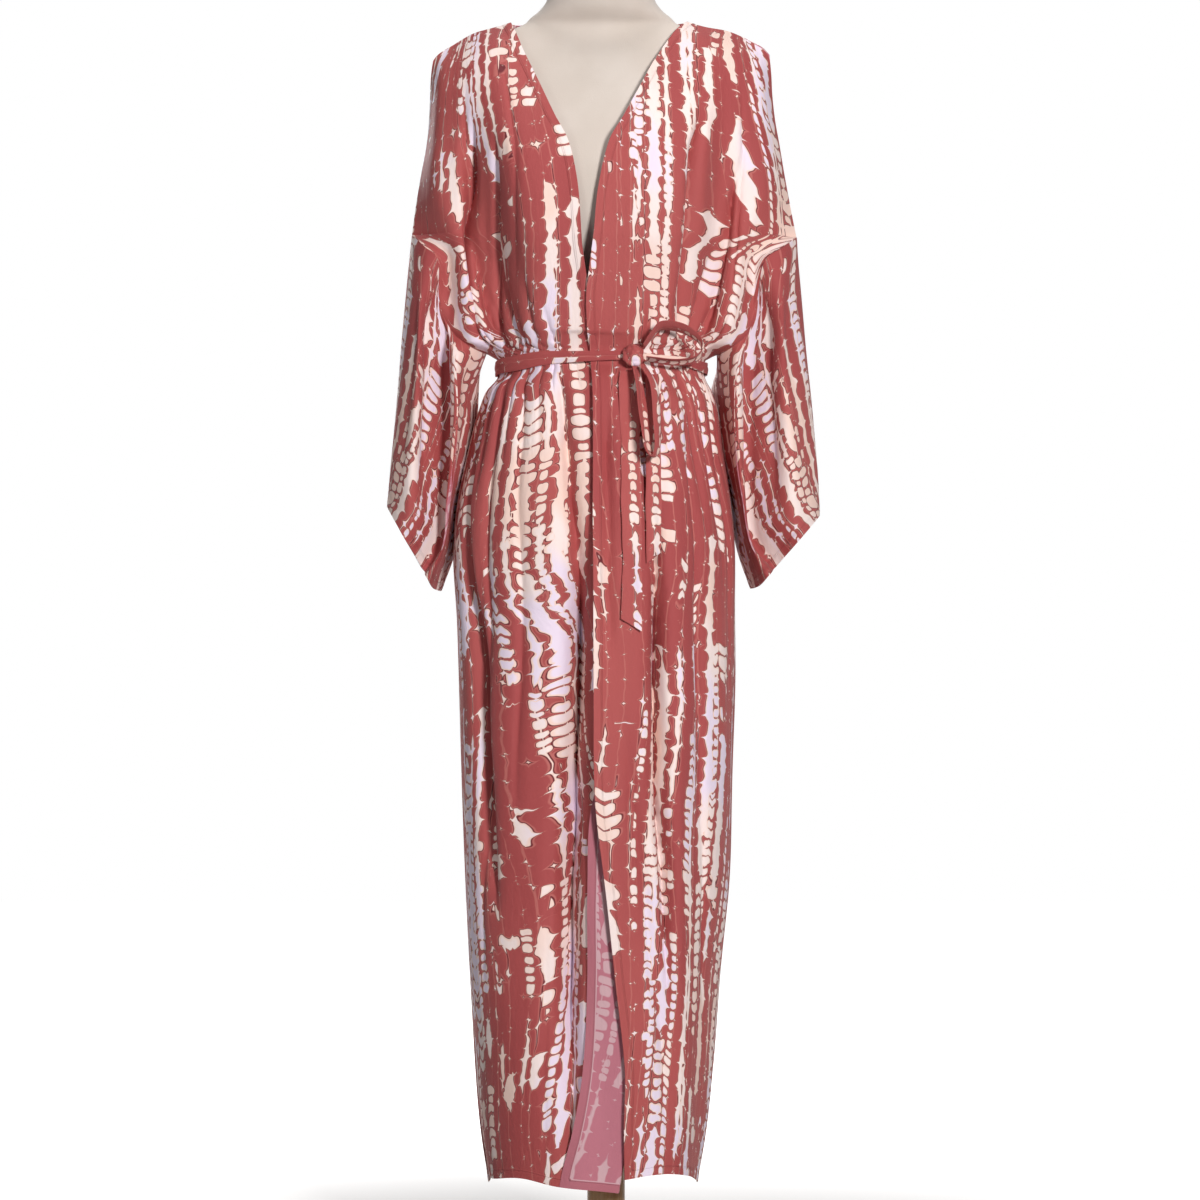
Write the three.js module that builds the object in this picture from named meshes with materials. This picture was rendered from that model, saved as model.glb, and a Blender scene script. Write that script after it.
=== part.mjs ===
// Beach kimono on a dress form stand.
// Millimetres, +Z up. The front of the garment faces -Y, and the stand's pole is on the Z axis.
// "Left" and "right" in a piece's name are the wearer's, so the right front is on the viewer's left.
import * as THREE from "three";

// Cloth
const CLOTH = 1.6; // thickness of a cloth wall
const SEAM_GAP = 1.6; // a body piece stops this far short of its seam line
const SHOULDER_GAP = 1.4; // and this far short of the shoulder line, where it turns sharply
const TIP_GAP = 4.2; // and this far short of the outer fold next to the shoulder's tip
const TIP_ROWS = 3; // rows and columns of the cloth that count as next to the tip
const TIP_COLUMNS = 4;
const SLEEVE_GAP = 1.2; // a sleeve stops this far short of its armhole seam
const MIDDLE_X = -6; // middle plane of the garment and the form, beside the pole's axis
const LAP = 4.4; // distance from one cloth layer to the next where they lie on each other

// Belt
const BELT_THICK = 2.4;
const BELT_Z = 1040; // middle of the belt in front
const BELT_DIP = 10; // it runs this much lower at the sides
const BELT_CLEAR = 2.2; // between the belt and the folds' highest places
const RIBBON_THICK = 1.8;
const LOOP_WIDTH_UPPER = 20;
const LOOP_WIDTH_HANGING = 19;
const TAIL_WIDTH_LONG = 22;
const TAIL_WIDTH_SHORT = 17;
const KNOT = new THREE.Vector3(31, -116, 1040);
const KNOT_HALF = new THREE.Vector3(12, 8.5, 12);

// Stand
const POLE_RADIUS = 22;
const BASE_RADIUS = 175;
const BASE_HEIGHT = 25;
const FORM_BOTTOM_Z = 742;
const NECK_TOP_Z = 1484;
const PART_GAP = 0.3; // between pieces of the stand that touch
const EDGE_ROUND = 6; // rounding of the base's upper edge

// How finely the cloth walls are divided
const ARMHOLE_STEPS = 10; // along the front or the back half of an armhole seam
const FRONT_COLUMNS = 24;
const FLAP_COLUMNS = 5;
const BACK_COLUMNS = 24;
const BELT_STEPS = 48;
const FORM_SIDES = 28;
const SLEEVE_ROWS = [0, 0.08, 0.18, 0.3, 0.44, 0.58, 0.72, 0.86, 1];

const TOP_REACH = 70; // the shoulder line shapes this much of the cloth below it

const CLOTH_COLOUR = 0xb55650;
const BELT_COLOUR = 0xa84a46;
const FORM_COLOUR = 0xded2c8;
const WOOD_COLOUR = 0xd9b98c;

// Tables. A table's first row names its columns, and every other row is one section, fold or point.
const table = ([names, ...rows]) =>
  rows.map((row) => Object.fromEntries(names.map((name, i) => [name, row[i]])));

// Front of the bodice from shoulder to belt, as distances from the middle plane (x) and depths (y).
// down counts from the shoulder line. rise lifts the middle of a section above a straight line.
const BODICE_FRONT = table([
  ["down", "rise", "chestX", "chestY", "armX", "armY", "stripX", "stripY", "recessX", "recessY"],
  [0, 8, 130, 4, 151, 3, 168, 2, 184, 1],
  [30, 8, 124, -28, 148, -27, 166, -24, 184, -17],
  [60, 6, 119, -52, 146, -47, 166, -39, 185, -28],
  [105, 3, 111, -78, 144, -61, 167, -50, 187, -35],
  [150, 0, 104, -100, 141, -69, 168, -57, 189, -41],
  [187, 0, 97, -118, 138, -73, 168, -60, 191, -45],
  [234, 0, 92, -128, 132, -71, 163, -62, 188, -49],
  [286, 0, 88, -125, 129, -63, 159, -62, 180, -49],
  [302, 0, 86, -122, 128, -59, 157, -62, 177, -47],
  [316, 0, 84, -118, 126, -55, 155, -61, 173, -44],
  [356, 0, 80, -110, 121, -51, 150, -61, 171, -33],
  [396, 0, 76, -102, 115, -55, 144, -57, 162, -38],
  [404, 0, 73, -98, 111, -56, 136, -50, 147, -46],
  [412, 0, 71, -93, 106, -55, 120, -36, 127, -21],
]);

// Back of the bodice, in the same way from the middle plane outwards. Its first section is the back
// neck edge, which runs round the form's neck, and then the shoulder lines.
const BODICE_BACK = table([
  ["down", "rise", "middleY", "napeX", "napeY", "bladeX", "bladeY", "armX", "armY", "wingX", "wingY"],
  [0, 16, 74, 58, 62, 100, 12, 140, 4, 176, 1],
  [30, 13, 86, 56, 78, 101, 44, 142, 29, 179, 18],
  [60, 8, 92, 54, 88, 101, 66, 142, 50, 181, 31],
  [105, 3, 98, 52, 95, 98, 83, 139, 64, 184, 39],
  [150, 0, 102, 50, 100, 94, 92, 134, 70, 187, 44],
  [187, 0, 104, 48, 102, 90, 97, 132, 72, 188, 47],
  [234, 0, 104, 47, 102, 88, 98, 130, 71, 184, 52],
  [286, 0, 103, 46, 101, 86, 96, 128, 68, 176, 55],
  [302, 0, 102, 45, 100, 84, 95, 126, 67, 172, 55],
  [316, 0, 102, 44, 100, 82, 94, 124, 65, 167, 55],
  [356, 0, 100, 42, 98, 78, 91, 119, 62, 154, 55],
  [396, 0, 97, 40, 95, 75, 87, 112, 57, 137, 48],
  [404, 0, 96, 39, 93, 73, 85, 108, 56, 129, 42],
  [412, 0, 94, 38, 91, 71, 82, 104, 54, 119, 31],
]);

// Shoulder lines, from the neck to the shoulder's tip.
const SHOULDER_RIGHT = table([
  ["x", "y", "z"],
  [-199, 0, 1385],
  [-192, 0, 1393],
  [-179, 1, 1402],
  [-156, 3, 1415],
  [-133, 5, 1423],
  [-116, 6, 1427],
]);
const SHOULDER_LEFT = table([
  ["x", "y", "z"],
  [92, 6, 1430],
  [116, 5, 1424],
  [142, 3, 1418],
  [166, 1, 1409],
  [181, 0, 1400],
  [188, 0, 1392],
]);

// Free edge of each front down to the hem. The under front's edge is where its turned-back flap starts.
const EDGE_UNDER = table([
  ["down", "x", "y", "z"],
  [0, -116, 6, 1427],
  [30, -109, -22, 1411],
  [60, -101, -42, 1391],
  [105, -83, -74, 1351],
  [150, -65, -100, 1311],
  [187, -49, -118, 1279],
  [234, -39, -131, 1232],
  [286, -35, -133, 1178],
  [302, -34, -131, 1164],
  [316, -32, -129, 1150],
  [356, -26, -121, 1110],
  [396, -20, -112, 1070],
  [404, -18, -107, 1065],
  [412, -17, -103, 1057],
]);
const EDGE_OVER = table([
  ["down", "x", "y", "z"],
  [0, 92, 6, 1430],
  [30, 76, -24, 1413],
  [60, 58, -50, 1384],
  [105, 38, -82, 1346],
  [150, 19, -108, 1310],
  [187, 3, -124, 1280],
  [234, -9, -136, 1228],
  [286, -14, -137, 1178],
  [302, -16, -134, 1164],
  [316, -18, -131, 1150],
  [356, -23, -122, 1110],
  [396, -22, -112, 1070],
  [404, -21, -108, 1065],
  [412, -20, -104, 1057],
]);

// Fold on the shoulder and outside of the drop shoulder, where front and back meet.
const FOLD_RIGHT = table([
  ["down", "x", "z"],
  [0, -199, 1385],
  [30, -201, 1364],
  [60, -202, 1342],
  [105, -204, 1312],
  [150, -207, 1286],
  [187, -212, 1258],
  [234, -218, 1220],
  [286, -223, 1184],
]);
const FOLD_LEFT = table([
  ["down", "x", "z"],
  [0, 188, 1392],
  [30, 190, 1368],
  [60, 191, 1345],
  [105, 194, 1316],
  [150, 199, 1288],
  [187, 204, 1260],
  [234, 211, 1224],
  [286, 219, 1182],
]);

// Armhole seams. round goes from 0 at the fold, through the front, to 0.5 at the underarm, and to 1
// through the back. down is the body section that ends there.
const SEAM_RIGHT = table([
  ["round", "down", "x", "y", "z"],
  [0, 286, -223, 0, 1184],
  [0.094, 302, -207, -43, 1168],
  [0.139, 316, -192, -50, 1153],
  [0.239, 356, -191, -33, 1110],
  [0.323, 396, -178, -27, 1076],
  [0.416, 404, -158, -37, 1057],
  [0.5, 412, -138, -5, 1048],
  [0.59, 404, -146, 36, 1058],
  [0.68, 396, -158, 46, 1082],
  [0.77, 356, -176, 52, 1118],
  [0.86, 316, -193, 52, 1150],
  [0.93, 302, -209, 40, 1170],
]);
const SEAM_LEFT = table([
  ["round", "down", "x", "y", "z"],
  [0, 286, 219, 0, 1182],
  [0.094, 302, 201, -44, 1167],
  [0.139, 316, 181, -51, 1153],
  [0.239, 356, 173, -33, 1110],
  [0.323, 396, 164, -27, 1074],
  [0.416, 404, 146, -37, 1055],
  [0.5, 412, 128, -5, 1046],
  [0.59, 404, 136, 36, 1056],
  [0.68, 396, 149, 46, 1080],
  [0.77, 356, 168, 52, 1116],
  [0.86, 316, 188, 52, 1150],
  [0.93, 302, 204, 40, 1169],
]);

// Skirt sections: the outline's sides, and how far front and back stand from the form's middle.
const SKIRT = table([
  ["z", "right", "left", "front", "back"],
  [1050, -124, 113, -101, 92],
  [1031, -125, 114, -102, 92],
  [1014, -137, 122, -111, 99],
  [990, -144, 128, -117, 104],
  [940, -156, 134, -123, 112],
  [880, -170, 143, -131, 120],
  [822, -175, 149, -135, 125],
  [742, -171, 148, -135, 127],
  [650, -168, 147, -134, 127],
  [540, -165, 144, -132, 125],
  [440, -161, 140, -130, 123],
  [340, -157, 131, -128, 120],
  [240, -151, 124, -126, 118],
  [170, -145, 115, -125, 116],
  [108, -136, 104, -124, 114],
]);
const SKIRT_SQUARENESS = 2.3;
const DOWN_PLUS_Z = 1466; // down of a skirt section plus its height
const HEM_Z = 108;

// Where the skirt's free edges run, and how wide the under front's flap is turned back.
const SKIRT_EDGES = table([
  ["z", "overX", "underX", "flap", "turn"],
  [1050, -19, -17, 7, 0],
  [993, -16, 2, 7, 0],
  [880, -16, 32, 7, 0],
  [822, -16, 46, 7, 0],
  [776, -16, 52, 7, 0],
  [740, -16, 53, 9, 1],
  [676, -16, 49, 24, 1],
  [540, -14, 38, 54, 1],
  [440, -3, 31, 52, 1],
  [340, 7, 28, 50, 1],
  [240, 18, 27, 58, 1],
  [170, 17, 27, 70, 1],
  [108, 17, 26, 80, 1],
]);

// Heights of the hems along each piece, from the free edge (0) to the side seam (1).
const HEM_UNDER = table([["across", "z"], [0, 100], [0.25, 106], [0.5, 113], [0.8, 107], [1, 110]]);
const HEM_OVER = table([["across", "z"], [0, 116], [0.3, 121], [0.6, 113], [0.85, 102], [1, 96]]);
const HEM_BACK = table([["across", "z"], [0, 96], [0.3, 108], [0.55, 112], [0.8, 108], [1, 110]]);

// Folds sink into a piece. across runs over the piece from 0 to 1, at the fold's top and foot;
// width is the fold's half width at each, and down is where it starts, is deepest and ends.
const FOLD_COLUMNS = ["top", "foot", "width", "footWidth", "depth", "from", "full", "fade", "to"];
const FOLDS_UNDER = table([
  FOLD_COLUMNS,
  [0.36, 0.45, 0.05, 0.075, 26, 500, 640, 1150, 1380],
  [0.82, 0.76, 0.05, 0.06, 15, 600, 720, 900, 1200],
  [0.6, 0.64, 0.03, 0.045, 9, 432, 480, 700, 900],
  [0.2, 0.27, 0.03, 0.04, 8, 432, 480, 800, 1380],
  [0.46, 0.4, 0.025, 0.03, 7, 430, 450, 470, 560],
  [0.72, 0.7, 0.025, 0.03, 8, 430, 450, 500, 600],
  [0.88, 0.9, 0.03, 0.035, 8, 430, 450, 520, 640],
  [0.58, 0.5, 0.028, 0.024, 9, 250, 330, 400, 420],
  [0.44, 0.38, 0.024, 0.022, 7, 300, 360, 400, 420],
  [0.3, 0.26, 0.026, 0.02, 5, 310, 370, 400, 420],
]);
const FOLDS_OVER = table([
  FOLD_COLUMNS,
  [0.17, 0.19, 0.05, 0.05, 8, 470, 540, 680, 850],
  [0.38, 0.52, 0.04, 0.06, 15, 440, 560, 820, 1280],
  [0.28, 0.3, 0.04, 0.04, 5, 430, 450, 500, 640],
  [0.5, 0.56, 0.03, 0.04, 8, 430, 450, 500, 650],
  [0.63, 0.72, 0.03, 0.05, 9, 430, 450, 520, 760],
  [0.78, 0.82, 0.03, 0.06, 9, 430, 460, 560, 900],
  [0.1, 0.3, 0.03, 0.06, 8, 800, 950, 1200, 1380],
  [0.62, 0.5, 0.03, 0.024, 11, 170, 260, 400, 420],
  [0.48, 0.4, 0.024, 0.022, 7, 290, 350, 400, 420],
  [0.32, 0.28, 0.026, 0.02, 5, 310, 370, 400, 420],
]);
const FOLDS_BACK = table([
  FOLD_COLUMNS,
  [0.5, 0.5, 0.02, 0.04, 8, 300, 380, 700, 1250],
  [0.4, 0.37, 0.02, 0.04, 10, 432, 500, 900, 1380],
  [0.61, 0.65, 0.02, 0.045, 12, 432, 500, 900, 1380],
  [0.3, 0.22, 0.02, 0.04, 9, 430, 480, 800, 1150],
  [0.72, 0.8, 0.02, 0.04, 8, 430, 480, 850, 1200],
  [0.45, 0.44, 0.015, 0.02, 6, 430, 450, 480, 600],
  [0.55, 0.56, 0.015, 0.02, 6, 430, 450, 480, 600],
  [0.36, 0.3, 0.02, 0.016, 7, 250, 340, 400, 420],
  [0.66, 0.7, 0.02, 0.016, 7, 250, 340, 400, 420],
  [0.44, 0.43, 0.018, 0.015, 5, 310, 370, 400, 420],
  [0.57, 0.58, 0.018, 0.015, 5, 310, 370, 400, 420],
]);

// Sleeves from the seam (along 0) to the cuff (along 1): the outer fold, the inner fold, the place of
// the crease in front, and the depths of the ridges beside it and of the back.
const SLEEVE_COLUMNS = [
  "along", "outX", "outZ", "inX", "inZ", "creaseX", "ridge", "crease", "inner", "backY",
];
const SLEEVE_RIGHT = table([
  SLEEVE_COLUMNS,
  [0.16, -228, 1136, -157, 1006, -189, 54, 24, 52, 56],
  [0.36, -235, 1062, -163, 964, -188, 55, 18, 50, 56],
  [0.56, -241, 992, -170, 920, -188, 53, 16, 46, 54],
  [0.76, -247, 922, -178, 870, -189, 49, 14, 38, 50],
  [0.9, -250, 886, -181, 822, -193, 45, 12, 32, 46],
  [1, -251, 872, -198, 778, -212, 40, 12, 26, 42],
]);
const SLEEVE_LEFT = table([
  SLEEVE_COLUMNS,
  [0.16, 222, 1132, 138, 1004, 170, 56, 25, 54, 56],
  [0.36, 228, 1062, 142, 962, 168, 56, 20, 52, 56],
  [0.56, 237, 992, 147, 920, 168, 54, 17, 47, 54],
  [0.76, 243, 922, 153, 876, 169, 50, 14, 40, 50],
  [0.9, 245, 880, 158, 826, 174, 46, 12, 33, 46],
  [1, 245, 862, 176, 781, 196, 41, 12, 27, 42],
]);

// Dress form: horizontal sections.
const FORM = table([
  ["z", "halfWidth", "front", "back", "square"],
  [NECK_TOP_Z, 61, -49, 60, 2.2],
  [1455, 62, -49, 60, 2.1],
  [1442, 71, -45, 59, 1.8],
  [1434, 81, -37, 56, 1.6],
  [1427, 88, -27, 52, 1.5],
  [1418, 110, -24, 50, 1.5],
  [1408, 137, -27, 50, 1.55],
  [1397, 161, -33, 52, 1.65],
  [1386, 177, -41, 56, 1.8],
  [1370, 183, -51, 62, 2],
  [1345, 182, -68, 72, 2.2],
  [1300, 166, -96, 86, 2.25],
  [1250, 147, -120, 91, 2.25],
  [1200, 135, -122, 90, 2.25],
  [1150, 122, -105, 84, 2.25],
  [1100, 110, -92, 78, 2.25],
  [1045, 104, -86, 76, 2.25],
  [1000, 112, -90, 82, 2.25],
  [940, 128, -96, 92, 2.25],
  [880, 138, -99, 98, 2.25],
  [820, 142, -99, 100, 2.25],
  [770, 138, -94, 96, 2.25],
  [750, 130, -86, 88, 2.25],
  [FORM_BOTTOM_Z, 110, -70, 72, 2.25],
]);

// Width of the belt round the waist, by the angle from its middle in front.
const BELT_WIDTHS = table([
  ["turn", "width"],
  [-180, 16],
  [-110, 15],
  [-60, 17],
  [-40, 17],
  [-12, 12],
  [18, 9],
  [50, 10],
  [100, 14],
  [180, 16],
]);

// Paths of the bow's loops, with the way the ribbon's width lies.
const PATH_COLUMNS = ["x", "y", "z", "wideX", "wideY", "wideZ"];
const UPPER_LOOP = table([
  PATH_COLUMNS,
  [42.2, -121, 1048.6, 0, 1, -0.3],
  [51, -124, 1061, 0, 1, -0.4],
  [62, -124, 1072, 0, 1, -0.5],
  [84, -119, 1070, 0, 1, -0.6],
  [102, -110, 1060, 0, 1, -0.6],
  [108, -103, 1047, 0, 1, -0.5],
  [98, -104, 1036, 0, 1, -0.4],
  [74, -112, 1033, 0, 1, -0.3],
  [45, -118, 1037, 0, 1, -0.2],
]);
const HANGING_LOOP = table([
  PATH_COLUMNS,
  [33, -119, 1027.3, 0.5, 1, 0],
  [37, -136, 1004, 0.5, 1, 0],
  [42, -148, 965, 0.6, 1, 0],
  [46, -153, 935, 0.5, 1, 0],
  [53, -154, 925, 0.3, 1, 0],
  [58, -152, 938, 0.4, 1, 0],
  [57, -147, 970, 0.5, 1, 0],
  [54, -138, 1005, 0.5, 1, 0],
  [42, -122, 1029, 0.4, 1, 0],
]);

// Tails: where they are seen from in front, how far they stand off the cloth, and their twist.
const TAIL_COLUMNS = ["x", "z", "off", "wideY"];
const TAIL_LONG = table([
  TAIL_COLUMNS,
  [26.5, 1022, 2.6, 0.1],
  [25.5, 1000, 1.8, 0.05],
  [27, 950, 1.3, 0],
  [28, 880, 1.3, 0.1],
  [29, 800, 1.3, -0.05],
  [28, 737, 1.3, 0.05],
]);
const TAIL_SHORT = table([
  TAIL_COLUMNS,
  [53, 1019, 6, -0.1],
  [53, 1000, 4, -0.1],
  [53, 950, 3, -0.1],
  [53, 880, 2.6, -0.1],
  [53, 812, 2.4, -0.1],
]);

const clamp = (value, low, high) => Math.min(high, Math.max(low, value));
const mix = (a, b, t) => a + (b - a) * t;
const smooth = (from, to, value) => {
  const t = clamp((value - from) / (to - from), 0, 1);
  return t * t * (3 - 2 * t);
};

// A smooth curve through values at rising knots, straight on past its ends.
function through(knots, values, at) {
  const last = knots.length - 1;
  let i = 0;
  while (i < last - 1 && at > knots[i + 1]) i += 1;
  const slope = (k) => {
    const a = Math.max(0, k - 1);
    const b = Math.min(last, k + 1);
    return (values[b] - values[a]) / (knots[b] - knots[a]);
  };
  const span = knots[i + 1] - knots[i];
  const t = clamp((at - knots[i]) / span, 0, 1);
  const start = values[i] * (1 + 2 * t) * (1 - t) ** 2 + slope(i) * span * t * (1 - t) ** 2;
  const end = values[i + 1] * (3 - 2 * t) * t * t + slope(i + 1) * span * t * t * (t - 1);
  return start + end;
}

const column = (rows, name) => rows.map((row) => row[name]);
const lookUp = (rows, key, name, at) => through(column(rows, key), column(rows, name), at);

function pointThrough(knots, points, at) {
  return new THREE.Vector3(
    through(knots, points.map((p) => p.x), at),
    through(knots, points.map((p) => p.y), at),
    through(knots, points.map((p) => p.z), at),
  );
}

// A closed smooth loop through points with knots from 0 up to, but without, 1.
function pointOnLoop(knots, points, at) {
  const turns = [-1, 0, 1];
  const allKnots = turns.flatMap((turn) => knots.map((k) => k + turn));
  const allPoints = turns.flatMap(() => points);
  return pointThrough(allKnots, allPoints, at);
}

// A point of an oval section, with turn in radians from the front (0) to the side at +X (pi / 2).
function ovalPoint(sizes, squareness, turn) {
  const power = 2 / squareness;
  const s = Math.sin(turn);
  const c = Math.cos(turn);
  const middle = (sizes.left + sizes.right) / 2;
  const half = (sizes.left - sizes.right) / 2;
  const depth = c > 0 ? sizes.front : sizes.back;
  return new THREE.Vector3(
    middle + half * Math.sign(s) * Math.abs(s) ** power,
    depth * Math.abs(c) ** power,
    sizes.z,
  );
}

function skirtSizes(z) {
  const rows = [...SKIRT].reverse();
  const at = (name) => lookUp(rows, "z", name, z);
  return { z, left: at("left"), right: at("right"), front: at("front"), back: at("back") };
}

// The turn at which a front section's oval passes a given X.
function turnAtX(sizes, x) {
  const middle = (sizes.left + sizes.right) / 2;
  const half = (sizes.left - sizes.right) / 2;
  const share = clamp((x - middle) / half, -1, 1);
  return Math.asin(Math.sign(share) * Math.abs(share) ** (SKIRT_SQUARENESS / 2));
}

const skirtEdge = (name, z) => lookUp([...SKIRT_EDGES].reverse(), "z", name, z);

// How much lower the waist runs at the sides than in front, fading out below the belt.
const beltDip = (turn, z) => BELT_DIP * Math.sin(turn) ** 2 * smooth(960, 1030, z);

// Section points of the skirt, from one turn to another, at given shares of the way.
function skirtSection(z, fromTurn, toTurn, shares) {
  const sizes = skirtSizes(z);
  return shares.map((share) => {
    const turn = mix(fromTurn, toTurn, share);
    const p = ovalPoint(sizes, SKIRT_SQUARENESS, turn);
    p.z -= beltDip(turn, z);
    return p;
  });
}

// A net of section points, one list of points for each section, that a smooth cloth surface follows.
class Net {
  constructor(downs, sections, knots, endLine, top) {
    this.downs = downs;
    this.sections = sections;
    this.knots = knots;
    this.endLine = endLine;
    this.top = top;
  }

  smoothPoint(down, across) {
    const points = this.sections.map((section) => pointThrough(this.knots, section, across));
    return pointThrough(this.downs, points, down);
  }

  // The top edge as the net alone gives it, before it is moved onto the shoulder line.
  plainTop(across) {
    const p = this.smoothPoint(0, across);
    for (const end of [0, 1]) {
      const line = this.endLine[end];
      if (!line) continue;
      p.addScaledVector(line(0).sub(this.smoothPoint(0, end)), (end ? across : 1 - across) ** 4);
    }
    return p;
  }

  point(down, across) {
    const p = this.smoothPoint(down, across);
    for (const end of [0, 1]) {
      const line = this.endLine[end];
      if (!line) continue;
      const away = end ? across : 1 - across;
      p.addScaledVector(line(down).sub(this.smoothPoint(down, end)), away ** 4);
    }
    if (down < TOP_REACH) {
      const plain = this.plainTop(across);
      p.addScaledVector(this.top(plain).clone().sub(plain), 1 - smooth(0, TOP_REACH, down));
    }
    return p;
  }
}

// The seam or fold line that ends a section on one side of the body.
function sideLine(fold, seam, side, isBack) {
  const half = seam.filter((row) => (isBack ? row.round >= 0.5 || row.round === 0 : row.round <= 0.5));
  const rounds = column(seam, "round");
  const points = seam.map((row) => new THREE.Vector3(row.x, row.y, row.z));
  const byDown = half.map((row) => [row.down, isBack && row.round === 0 ? 1 : row.round]);
  byDown.sort((a, b) => a[0] - b[0]);
  const foldEnd = seam[0].down;
  const underarm = seam.find((row) => row.round === 0.5).down;
  return (down) => {
    if (down <= foldEnd) {
      return new THREE.Vector3(lookUp(fold, "down", "x", down), 0, lookUp(fold, "down", "z", down));
    }
    if (down < underarm) {
      const i = byDown.findIndex((pair) => pair[0] >= down);
      const [d0, r0] = byDown[i - 1];
      const [d1, r1] = byDown[i];
      return pointOnLoop(rounds, points, mix(r0, r1, (down - d0) / (d1 - d0)) % 1);
    }
    const start = points[seam.findIndex((row) => row.round === 0.5)];
    const z = DOWN_PLUS_Z - down;
    const skirt = ovalPoint(skirtSizes(Math.min(z, BELT_Z)), SKIRT_SQUARENESS, (side * Math.PI) / 2);
    skirt.z = z - beltDip(Math.PI / 2, Math.min(z, BELT_Z));
    const t = smooth(underarm, underarm + 5, down);
    return start.clone().lerp(skirt, t);
  };
}

const SKIRT_ROWS = SKIRT.map((row) => row.z);

function frontNet(side, edge, edgeName, fold, seam, shoulder) {
  const knots = [0, 0.26, 0.48, 0.66, 0.83, 1];
  const line = sideLine(fold, seam, side, false);
  const bodice = BODICE_FRONT.map((row, i) => {
    const start = new THREE.Vector3(edge[i].x, edge[i].y, edge[i].z);
    const end = line(row.down);
    const inner = ["chest", "arm", "strip", "recess"].map((name, k) => {
      const share = knots[k + 1];
      const z = mix(start.z, end.z, share) + row.rise * 4 * share * (1 - share);
      return new THREE.Vector3(MIDDLE_X + side * row[name + "X"], row[name + "Y"], z);
    });
    return [start, ...inner, end];
  });
  const skirt = SKIRT_ROWS.map((z) => {
    const from = turnAtX(skirtSizes(z), skirtEdge(edgeName, z));
    return skirtSection(z, from, (side * Math.PI) / 2, knots);
  });
  const downs = [...column(BODICE_FRONT, "down"), ...SKIRT_ROWS.map((z) => DOWN_PLUS_Z - z)];
  return new Net(downs, [...bodice, ...skirt], knots, [null, line], (p) => onShoulder(shoulder, p));
}

// A point of a top edge, moved onto the shoulder line when it lies beside the neck.
function onShoulder(shoulder, p) {
  const inner = shoulder === SHOULDER_RIGHT ? shoulder.length - 1 : 0;
  const beside = shoulder === SHOULDER_RIGHT ? p.x <= shoulder[inner].x : p.x >= shoulder[inner].x;
  if (!beside) return p;
  return new THREE.Vector3(p.x, lookUp(shoulder, "x", "y", p.x), lookUp(shoulder, "x", "z", p.x));
}

function backNet() {
  const knots = [0, 0.08, 0.18, 0.28, 0.38, 0.5, 0.62, 0.72, 0.82, 0.92, 1];
  const rightLine = sideLine(FOLD_RIGHT, SEAM_RIGHT, -1, true);
  const leftLine = sideLine(FOLD_LEFT, SEAM_LEFT, 1, true);
  const bodice = BODICE_BACK.map((row, i) => {
    const ends = [rightLine(row.down), leftLine(row.down)];
    const middleZ = EDGE_UNDER[i].z;
    const at = (name, share, side) => {
      const z = mix(middleZ, ends[side < 0 ? 0 : 1].z, share) + row.rise * 4 * share * (1 - share);
      return new THREE.Vector3(MIDDLE_X + side * row[name + "X"], row[name + "Y"], z);
    };
    const half = (side) => [
      at("nape", 0.1, side),
      at("blade", 0.36, side),
      at("arm", 0.62, side),
      at("wing", 0.84, side),
    ];
    const middle = new THREE.Vector3(MIDDLE_X, row.middleY, middleZ);
    return [ends[0], ...half(-1).reverse(), middle, ...half(1), ends[1]];
  });
  const skirt = SKIRT_ROWS.map((z) => skirtSection(z, -Math.PI / 2, (-3 * Math.PI) / 2, knots));
  const downs = [...column(BODICE_BACK, "down"), ...SKIRT_ROWS.map((z) => DOWN_PLUS_Z - z)];
  const top = (p) => onShoulder(SHOULDER_LEFT, onShoulder(SHOULDER_RIGHT, p));
  return new Net(downs, [...bodice, ...skirt], knots, [rightLine, leftLine], top);
}

// How far the folds sink the cloth at a place on a piece.
function sink(folds, down, across) {
  return folds.reduce((sum, fold) => {
    const along = clamp((down - fold.from) / (fold.to - fold.from), 0, 1);
    const strength = smooth(fold.from, fold.full, down) * (1 - smooth(fold.fade, fold.to, down));
    const off = (across - mix(fold.top, fold.foot, along)) / mix(fold.width, fold.footWidth, along);
    return sum + fold.depth * strength * Math.exp(-off * off);
  }, 0);
}

function normalAt(surface, down, across, outwards) {
  const step = 0.004;
  const a = clamp(across, step, 1 - step);
  const d = Math.max(down, 1);
  const alongAcross = surface(d, a + step).sub(surface(d, a - step));
  const alongDown = surface(d + 1, a).sub(surface(d - 1 > 0 ? d - 1 : 0, a));
  return alongAcross.cross(alongDown).normalize().multiplyScalar(outwards);
}

// Rows of a piece from shoulder to hem. Along the armhole they stand at the sleeve's own points.
function bodyRows(seam, isBack) {
  const shoulder = [0, 12, 28, 48, 76, 112, 156, 204, 250];
  const half = seam
    .filter((row) => (isBack ? row.round >= 0.5 || row.round === 0 : row.round <= 0.5))
    .map((row) => [isBack ? 1 - (row.round || 1) : row.round, row.down])
    .sort((a, b) => a[0] - b[0]);
  const armhole = Array.from({ length: ARMHOLE_STEPS + 1 }, (_, k) => {
    const round = k / (2 * ARMHOLE_STEPS);
    const i = Math.max(1, half.findIndex((pair) => pair[0] >= round - 1e-9));
    const share = (round - half[i - 1][0]) / (half[i][0] - half[i - 1][0]);
    return mix(half[i - 1][1], half[i][1], share);
  });
  const skirt = [418, 434, 444, 458, 486, 532, 600, 690, 790, 900, 1020, 1140, 1250, 1358];
  return [...shoulder, ...armhole, ...skirt];
}

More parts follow.
